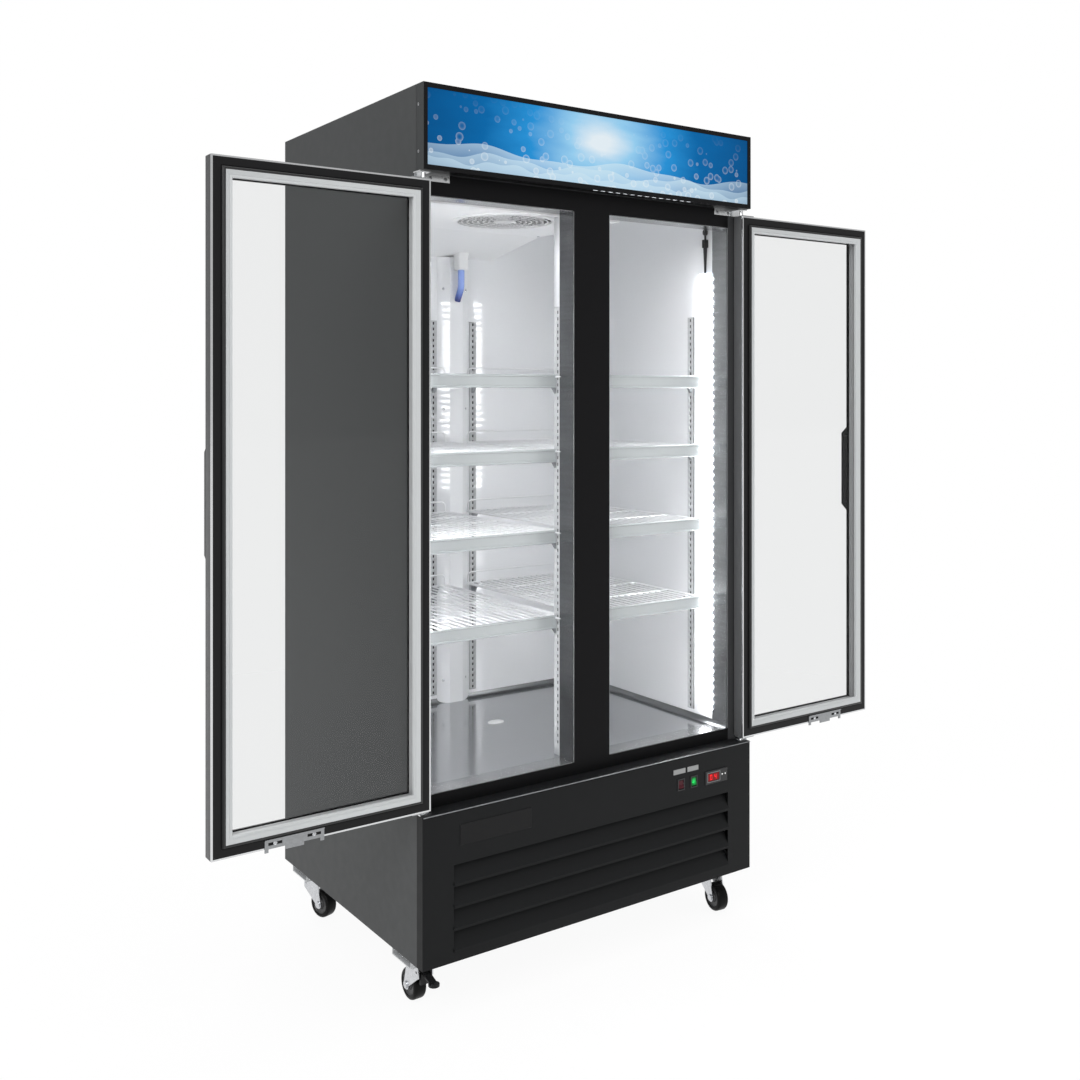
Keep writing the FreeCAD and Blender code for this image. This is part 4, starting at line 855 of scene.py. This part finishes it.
def wheelSections():
    half, tread, rim, soft = wheelLook["half"], wheelLook["tread"], wheelLook["rim"], wheelLook["round"]
    bend = np.linspace(0, math.pi / 2, 6)
    near = [(tread - soft + soft * math.sin(a), -half + soft - soft * math.cos(a)) for a in bend]
    tyre = [(rim, -half + 0.001), (rim + 0.001, -half)] + near + [(r, -h) for r, h in reversed(near)]
    tyre += [(rim + 0.001, half), (rim, half - 0.001)]
    web, ring, bore = half - wheelLook["dish"], wheelLook["hubRing"], wheelLook["bore"]
    hub = [(bore, -half), (ring - 0.001, -half), (ring, -half + 0.001), (ring + 0.001, -web), (rim - 0.002, -web),
           (rim, -half + 0.002)]
    hub += [(r, -h) for r, h in reversed(hub)]
    return tyre, hub


spins = {j["child"]: j for j in frame["joints"] if j["name"].endswith("_wheel_spin")}
tyre, hub = wheelSections()
for corner in ("front_left", "front_right", "rear_left", "rear_right"):
    body = corner + "_roller"
    centre, axis = np.array(spins[body]["pos_m"]), spins[body]["axis"]
    piece(corner + "_tyre", turned(tyre, centre, axis, 64, True), "tyre", body, [corner + "_wheel"])
    piece(corner + "_hub", turned(hub, centre, axis, 48, True), "hub", body)
print("fan guard and wheels done")


# Controls: plain plates, and a display with its rim, lit figures and keys, on the base cover
controlLook = {"face": -0.381, "labels": ((0.2295, 0.2700), (0.2770, 0.3145)), "labelZ": (0.4215, 0.4340),
               "badge": ((-0.404, 0.383), (-0.210, 0.430)), "controller": 0.377, "middle": 0.393}


def onCover(x0, x1, z0, z1, proud):
    face = controlLook["face"]
    return blocks((x0, face - proud, z0), (x1, face, z1))


labelZ = controlLook["labelZ"]
plates = [onCover(x0, x1, *labelZ, 0.0008) for x0, x1 in controlLook["labels"]]
piece("label_plates", joined(plates), "label", "cabinet", bevel=0.0003)
(bx0, bz0), (bx1, bz1) = controlLook["badge"]
piece("badge_plate", onCover(bx0, bx1, bz0, bz1, 0.0012), "badge", "cabinet", bevel=0.0006)


# Display: seven bars to a lit figure, as boxes on the window, and two domed keys beside the rim
displayLook = {"shift": -0.010, "wide": 0.0065, "tall": 0.013, "bar": 0.0013, "lit": 0.0003, "starts": (-0.012, 0.003),
               "window": (0.0195, 0.0095), "depth": (0.0019, 0.0016), "rim": (0.0225, 0.0125), "front": 0.0025,
               "rimSection": ((0, -0.0004), (0.0010, -0.0004), (0.0010, 0.0006), (0, 0.0006)),
               "keys": ((0.030, 0.002), (0.041, 0.002)),
               "keySection": ((0.0001, 0.0009), (0.0016, 0.0007), (0.0021, 0))}


def figure(x, z, bars):
    wide, tall, t = displayLook["wide"], displayLook["tall"], displayLook["bar"]
    y = controlLook["face"] - displayLook["depth"][0]
    spans = {"top": (x, z + tall - t, x + wide, z + tall), "foot": (x, z, x + wide, z + t),
             "waist": (x, z + (tall - t) / 2, x + wide, z + (tall + t) / 2),
             "upLeft": (x, z + tall / 2, x + t, z + tall), "upRight": (x + wide - t, z + tall / 2, x + wide, z + tall),
             "lowLeft": (x, z, x + t, z + tall / 2), "lowRight": (x + wide - t, z, x + wide, z + tall / 2)}
    return [blocks((a, y - displayLook["lit"], b), (c, y, d)) for a, b, c, d in (spans[bar] for bar in bars)]


zero = ("top", "foot", "upLeft", "upRight", "lowLeft", "lowRight")
four = ("waist", "upLeft", "upRight", "lowRight")
middle = controlLook["middle"]
face = controlLook["face"]
front = face - displayLook["front"]
displayX = controlLook["controller"] + displayLook["shift"]
digits = []
for start, bars in zip(displayLook["starts"], (zero, four)):
    digits += figure(displayX + start, middle - displayLook["tall"] / 2, bars)
piece("display_figures", joined(digits), "redDisplay", "cabinet")
(halfX, halfZ), (near, far) = displayLook["window"], displayLook["depth"]
window = blocks((displayX - halfX, face - near, middle - halfZ), (displayX + halfX, face - far, middle + halfZ))
piece("display_window", window, "displayGlass", "cabinet", bevel=0.0001)
halfX, halfZ = displayLook["rim"]
rimLoop = frontLoop((displayX - halfX, 0, middle - halfZ), (displayX + halfX, 0, middle + halfZ), front, 0)
piece("display_rim", sweep(rimLoop, displayLook["rimSection"], (0, 1, 0), True), "dullZinc", "cabinet")
dots = [turned(displayLook["keySection"], (displayX + dx, front, middle + dz), (0, -1, 0), 20)
        for dx, dz in displayLook["keys"]]
piece("controller_keys", joined(dots), "dotWhite", "cabinet")
print("controls done")


# Screws on the lit box, the back, the door locks, the ceiling cover and the column
boxScrews = {"heights": (1.932, 2.036), "y": -0.362, "sink": 0.0011}
backScrews = {"count": 9, "end": 0.03, "edge": 0.024, "sink": 0.0004}
lockScrews = {"middle": 0.7975, "spread": 0.0425, "depth": 0.0033, "height": 0.484}
coverScrews = {"height": 1.8366, "depths": (-0.25, -0.08, 0.07), "edge": 0.012}
columnScrews = {"x": 0.038, "heights": (0.56, 0.95, 1.35, 1.70), "facing": (0.5487, -0.8360, 0)}


def fastenings():
    groups = []
    boxLow, boxHigh = corners("light_box_frame")
    for z in boxScrews["heights"]:
        groups.append(screws([(boxHigh[0] - boxScrews["sink"], boxScrews["y"], z)], (1, 0, 0)))
        groups.append(screws([(boxLow[0] + boxScrews["sink"], boxScrews["y"], z)], (-1, 0, 0)))
    return joined(groups)


piece("case_screws", fastenings(), "zinc", "cabinet")
backLow, backHigh = corners("back_panel")
zs = np.linspace(backLow[2] + backScrews["end"], backHigh[2] - backScrews["end"], backScrews["count"])
rowX, rowY = backHigh[0] - backScrews["edge"], backHigh[1] - backScrews["sink"]
rows = [(s * rowX, rowY, z) for z in zs for s in (-1, 1)]
piece("back_screws", screws(rows, (0, 1, 0)), "dullZinc", "cabinet")
for side, sign in (("right", 1), ("left", -1)):
    faceY = corners(side + "_door_fittings")[0][1] + lockScrews["depth"]
    spots = [(sign * lockScrews["middle"] + s * lockScrews["spread"], faceY, lockScrews["height"]) for s in (-1, 1)]
    piece(side + "_lock_screws", screws(spots, (0, -1, 0)), "zinc", side + "_door")


# Lit slots: short rounded bars of light in the underside of the light box, near its front edge
slotRow = {"from": -0.020, "to": 0.283, "count": 14, "long": 0.012, "deep": 0.0035, "tall": 0.0006, "setback": 0.006}
boxLow, boxHigh = corners("light_box_frame")
centres = np.linspace(slotRow["from"], slotRow["to"], slotRow["count"])
middleY = boxLow[1] + slotRow["setback"]
slotSize = np.array([slotRow["long"], slotRow["deep"], slotRow["tall"]]) / 2
rows = np.stack([centres, 0 * centres + middleY, 0 * centres + boxLow[2]], 1)
piece("light_box_slots", blocks(rows - slotSize, rows + slotSize), "dotLit", "cabinet", bevel=0.0002)
coverLow, coverHigh = corners("evaporator_cover")
edges = (coverLow[0] + coverScrews["edge"], coverHigh[0] - coverScrews["edge"])
rows = [(x, y, coverScrews["height"]) for y in coverScrews["depths"] for x in edges]
piece("cover_screws", screws(rows, (0, 0, -1)), "zinc", "cabinet")
columnLow, columnHigh = corners("centre_column")
bevelMiddle = (columnLow[1] + columnHigh[1]) / 2
rows = [(columnScrews["x"], bevelMiddle, z) for z in columnScrews["heights"]]
piece("column_screws", bothSides(screws(rows, columnScrews["facing"])), "zinc", "cabinet")
print("screws done")


# Drain plug: an oval lid, one ellipse carried up a list of rings, each a share of its size and a height
plugLook = {"place": (-0.021, 0.067, 0.494), "half": (0.024, 0.015),
            "rings": ((1.0, 0.0), (1.0, 0.0022), (0.94, 0.0032), (0.7, 0.0036), (0.01, 0.0036))}


def drainPlug():
    angle = around(40)
    halfX, halfY = plugLook["half"]
    outline = np.stack([halfX * np.cos(angle), halfY * np.sin(angle), 0 * angle], 1)
    return stacked(np.stack([outline * (k, k, 1) + (0, 0, h) for k, h in plugLook["rings"]]) + plugLook["place"])


piece("drain_plug", drainPlug(), "coverWhite", "cabinet")


# Drain collar: a rounded square, each corner drawn in by the sixth-power norm, scaled down a list of heights
collarLook = {"place": (0.004, 0.2921), "rows": ((1.8085, 0.0190), (1.7975, 0.0182), (1.7910, 0.0165), (1.7600, 0.0160),
                                                 (1.7545, 0.0158), (1.7536, 0.0140), (1.7536, 0.0100))}


def drainCollar():
    angle = around(48)
    reach = 1 / (abs(np.cos(angle)) ** 6 + abs(np.sin(angle)) ** 6) ** (1 / 6)
    heights, halves = np.array(collarLook["rows"]).T[:, :, None]
    x = collarLook["place"][0] + halves * reach * np.cos(angle)
    y = collarLook["place"][1] + halves * reach * np.sin(angle)
    return stacked(np.stack([x, y, heights + 0 * x], -1))


piece("drain_collar", drainCollar(), "coverWhite", "cabinet")

# Lead boots: a taper below the plug and a round grommet above it, turned about the lead
bootLook = {"place": (0.453, -0.258), "taper": ((1.7960, 0.0054), (1.7850, 0.0050), (1.7600, 0.0038), (1.7270, 0.0028)),
            "grommet": ((1.8440, 0.0058), (1.8405, 0.0070), (1.8340, 0.0070), (1.8305, 0.0056), (1.8290, 0.0030))}
boots = []
for part in ("taper", "grommet"):
    rows = [(radius, height) for height, radius in bootLook[part]]
    boots.append(turned(rows, np.array([*bootLook["place"], 0.0]), (0, 0, 1), 24))
piece("lead_boots", bothSides(joined(boots)), "blackRubber", "cabinet")

# Floor cove: a quarter-round fillet between the deck and the left, back and right walls
coveLook = {"reach": 0.013, "half": 0.4578, "front": -0.338, "back": 0.3328, "deck": 0.4942}


def coveSection():
    reach = coveLook["reach"]
    bend = np.linspace(0, np.pi / 2, 7)
    arc = [(reach - reach * math.sin(a), reach - reach * math.cos(a)) for a in bend]
    return [(0.0, 0.0)] + arc[::-1]


half, deck = coveLook["half"], coveLook["deck"]
route = [(-half, coveLook["front"], deck), (-half, coveLook["back"], deck), (half, coveLook["back"], deck),
         (half, coveLook["front"], deck)]
piece("floor_cove", sweep(route, coveSection(), (0, 0, 1)), "coveSteel", "cabinet")

# Breaker highlights: thin bright round lines where the breaker strips meet the jambs and the mullion, a painted
# highlight along the strip edges
breakerHighlightLook = {"places": (0.0552, 0.4588), "radius": 0.0007, "sink": 0.0005, "low": 0.4955, "high": 1.8405}
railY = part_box("front_frame")[0].y
highlightY = railY + breakerHighlightLook["sink"]
highlightBeads = [straightWire((x, highlightY, breakerHighlightLook["low"]), (x, highlightY, breakerHighlightLook["high"]), breakerHighlightLook["radius"])
         for x in breakerHighlightLook["places"]]
piece("breaker_highlights", bothSides(joined(highlightBeads)), "dullZinc", "cabinet")

# Box seams: a thin dark joint on each side where the lit box meets the case
seamLook = {"wide": 0.005, "proud": 0.0002, "sunk": 0.0008, "inset": 0.001}
boxLow, boxHigh = corners("light_box_frame")
caseHigh = corners("right_side_panel")[1]
seam = blocks((caseHigh[0] - seamLook["sunk"], boxHigh[1], boxLow[2] + seamLook["inset"]),
              (caseHigh[0] + seamLook["proud"], boxHigh[1] + seamLook["wide"], boxHigh[2] - seamLook["inset"]))
piece("box_seams", bothSides(seam), "boxShell", "cabinet")

# Cover highlight: a thin bright metal bead along the top front edge of the base cover, a painted highlight for the
# light on its black edge
coverHighlightLook = {"half": 0.4985, "radius": 0.0011, "inset": 0.0008}
panelLow, panelHigh = corners("base_cover")
lipY, lipZ = panelLow[1] + coverHighlightLook["inset"], panelHigh[2] - coverHighlightLook["inset"]
coverHighlightBead = straightWire((-coverHighlightLook["half"], lipY, lipZ), (coverHighlightLook["half"], lipY, lipZ), coverHighlightLook["radius"])
piece("cover_top_highlight", coverHighlightBead, "dullZinc", "cabinet")

# Two screws in the flange of each top hinge
hingeScrews = {"places": (0.419, 0.458), "proud": 0.003, "height": 1.8795}
spots = [(s * x, railY - hingeScrews["proud"], hingeScrews["height"]) for x in hingeScrews["places"] for s in (-1, 1)]
piece("top_hinge_screws", screws(spots, (0, -1, 0)), "dullZinc", "cabinet")

# Back swages: a half-round section along a line, its size falling off by the sixteenth power of the way from the middle
swageLook = {"half": 0.40, "wide": 0.011, "proud": 0.0010, "sink": 0.0004, "heights": (0.62, 1.07, 1.52, 1.90)}


def swage(z):
    along = np.linspace(-1, 1, 41)[:, None]
    angle = np.linspace(0, np.pi, 9)[None]
    size = np.sqrt(1 - 0.999 * along ** 16)
    x = along * swageLook["half"] + 0 * angle
    y = backHigh[1] - swageLook["sink"] + size * (swageLook["proud"] + swageLook["sink"]) * np.sin(angle)
    return stacked(np.stack([x, y, z + size * swageLook["wide"] * np.cos(angle)], -1))


piece("back_swages", joined([swage(z) for z in swageLook["heights"]]), "galvanised", "cabinet")
print("fittings done")


# Stage: pale floor, soft lights and the camera of the photograph
stageLook = {"floor": (0.90, 0.90, 0.90), "size": 60.0, "world": 0.60, "white": 0.93, "fade": (1.2, 3.0)}
cameraLook = {"place": (-1.7639, -2.6453, 1.4017), "heading": 34.88, "lens": 39.17, "shift": -0.1378}
lightLook = [
    ("key", (-3.6, -2.6, 3.4), (0, 0, 1.1), 2.6, 120.0),
    ("fill", (2.8, -3.8, 2.6), (0, 0, 1.1), 2.8, 60.0),
    ("top", (0.2, -0.6, 4.6), (0, 0, 1.0), 2.4, 60.0),
    ("rear", (0.8, 3.6, 3.0), (0, 0, 1.1), 2.6, 70.0),
]


# A colour for the eye and mirrors, and the lit surface for everything else
def paleFloor():
    finish = Finish("pale_floor", Base_Color=stageLook["floor"], Roughness=0.9)
    path = finish.add("ShaderNodeLightPath")
    rays = ("Is Camera Ray", "Is Glossy Ray", "Is Transmission Ray")
    seen = [Wire(finish, path.socket.node.outputs[n]) for n in rays]
    white = finish.add("ShaderNodeEmission", None, {"Color": (1, 1, 1, 1), "Strength": 1.0})
    x, y, _ = finish.axes()
    near, far = stageLook["fade"]
    away = (((x ** 2.0 + y ** 2.0) ** 0.5 - near) / (far - near)).highest(0.0).lowest(1.0)
    share = seen[0].highest(seen[1]).highest(seen[2]) * (stageLook["white"] + away * (1.0 - stageLook["white"]))
    both = finish.add("ShaderNodeMixShader", None, {0: share, 1: Wire(finish, finish.shader.outputs[0]), 2: white})
    finish.plug(finish.output.inputs[0], both)
    return finish.material


half = stageLook["size"] / 2
floorMesh = bpy.data.meshes.new("floor")
floorMesh.from_pydata([(-half, -half, 0), (half, -half, 0), (half, half, 0), (-half, half, 0)], [], [(0, 1, 2, 3)])
floorMesh.materials.append(paleFloor())
floor = bpy.data.objects.new("floor", floorMesh)
bpy.context.scene.collection.objects.link(floor)

world = bpy.data.worlds.new("studio")
world.use_nodes = True
bpy.context.scene.world = world
sky = world.node_tree.nodes["Background"]
lightPath = world.node_tree.nodes.new("ShaderNodeLightPath")
skyMath = world.node_tree.nodes.new("ShaderNodeMix")
skyMath.inputs[2].default_value = stageLook["world"]
skyMath.inputs[3].default_value = 1.0
sky.inputs["Color"].default_value = (1, 1, 1, 1)
world.node_tree.links.new(lightPath.outputs["Is Camera Ray"], skyMath.inputs[0])
world.node_tree.links.new(skyMath.outputs[0], sky.inputs["Strength"])

for name, place, target, size, power in lightLook:
    lamp = bpy.data.lights.new(name, "AREA")
    lamp.size = size
    lamp.energy = power
    lampObject = bpy.data.objects.new(name, lamp)
    lampObject.location = place
    toward = np.array(target) - np.array(place)
    flat = math.hypot(toward[0], toward[1])
    lampObject.rotation_euler = (math.atan2(flat, -toward[2]), 0, math.atan2(-toward[0], toward[1]))
    lampObject.visible_glossy = name != "fill"
    bpy.context.scene.collection.objects.link(lampObject)

camera = bpy.data.cameras.new("camera")
camera.lens = cameraLook["lens"]
camera.sensor_width = 36.0
camera.shift_y = cameraLook["shift"]
cameraObject = bpy.data.objects.new("camera", camera)
cameraObject.location = cameraLook["place"]
cameraObject.rotation_euler = (math.radians(90), 0, -math.radians(cameraLook["heading"]))
bpy.context.scene.collection.objects.link(cameraObject)
bpy.context.scene.camera = cameraObject
bpy.context.scene.view_settings.view_transform = "Standard"
print("stage done")
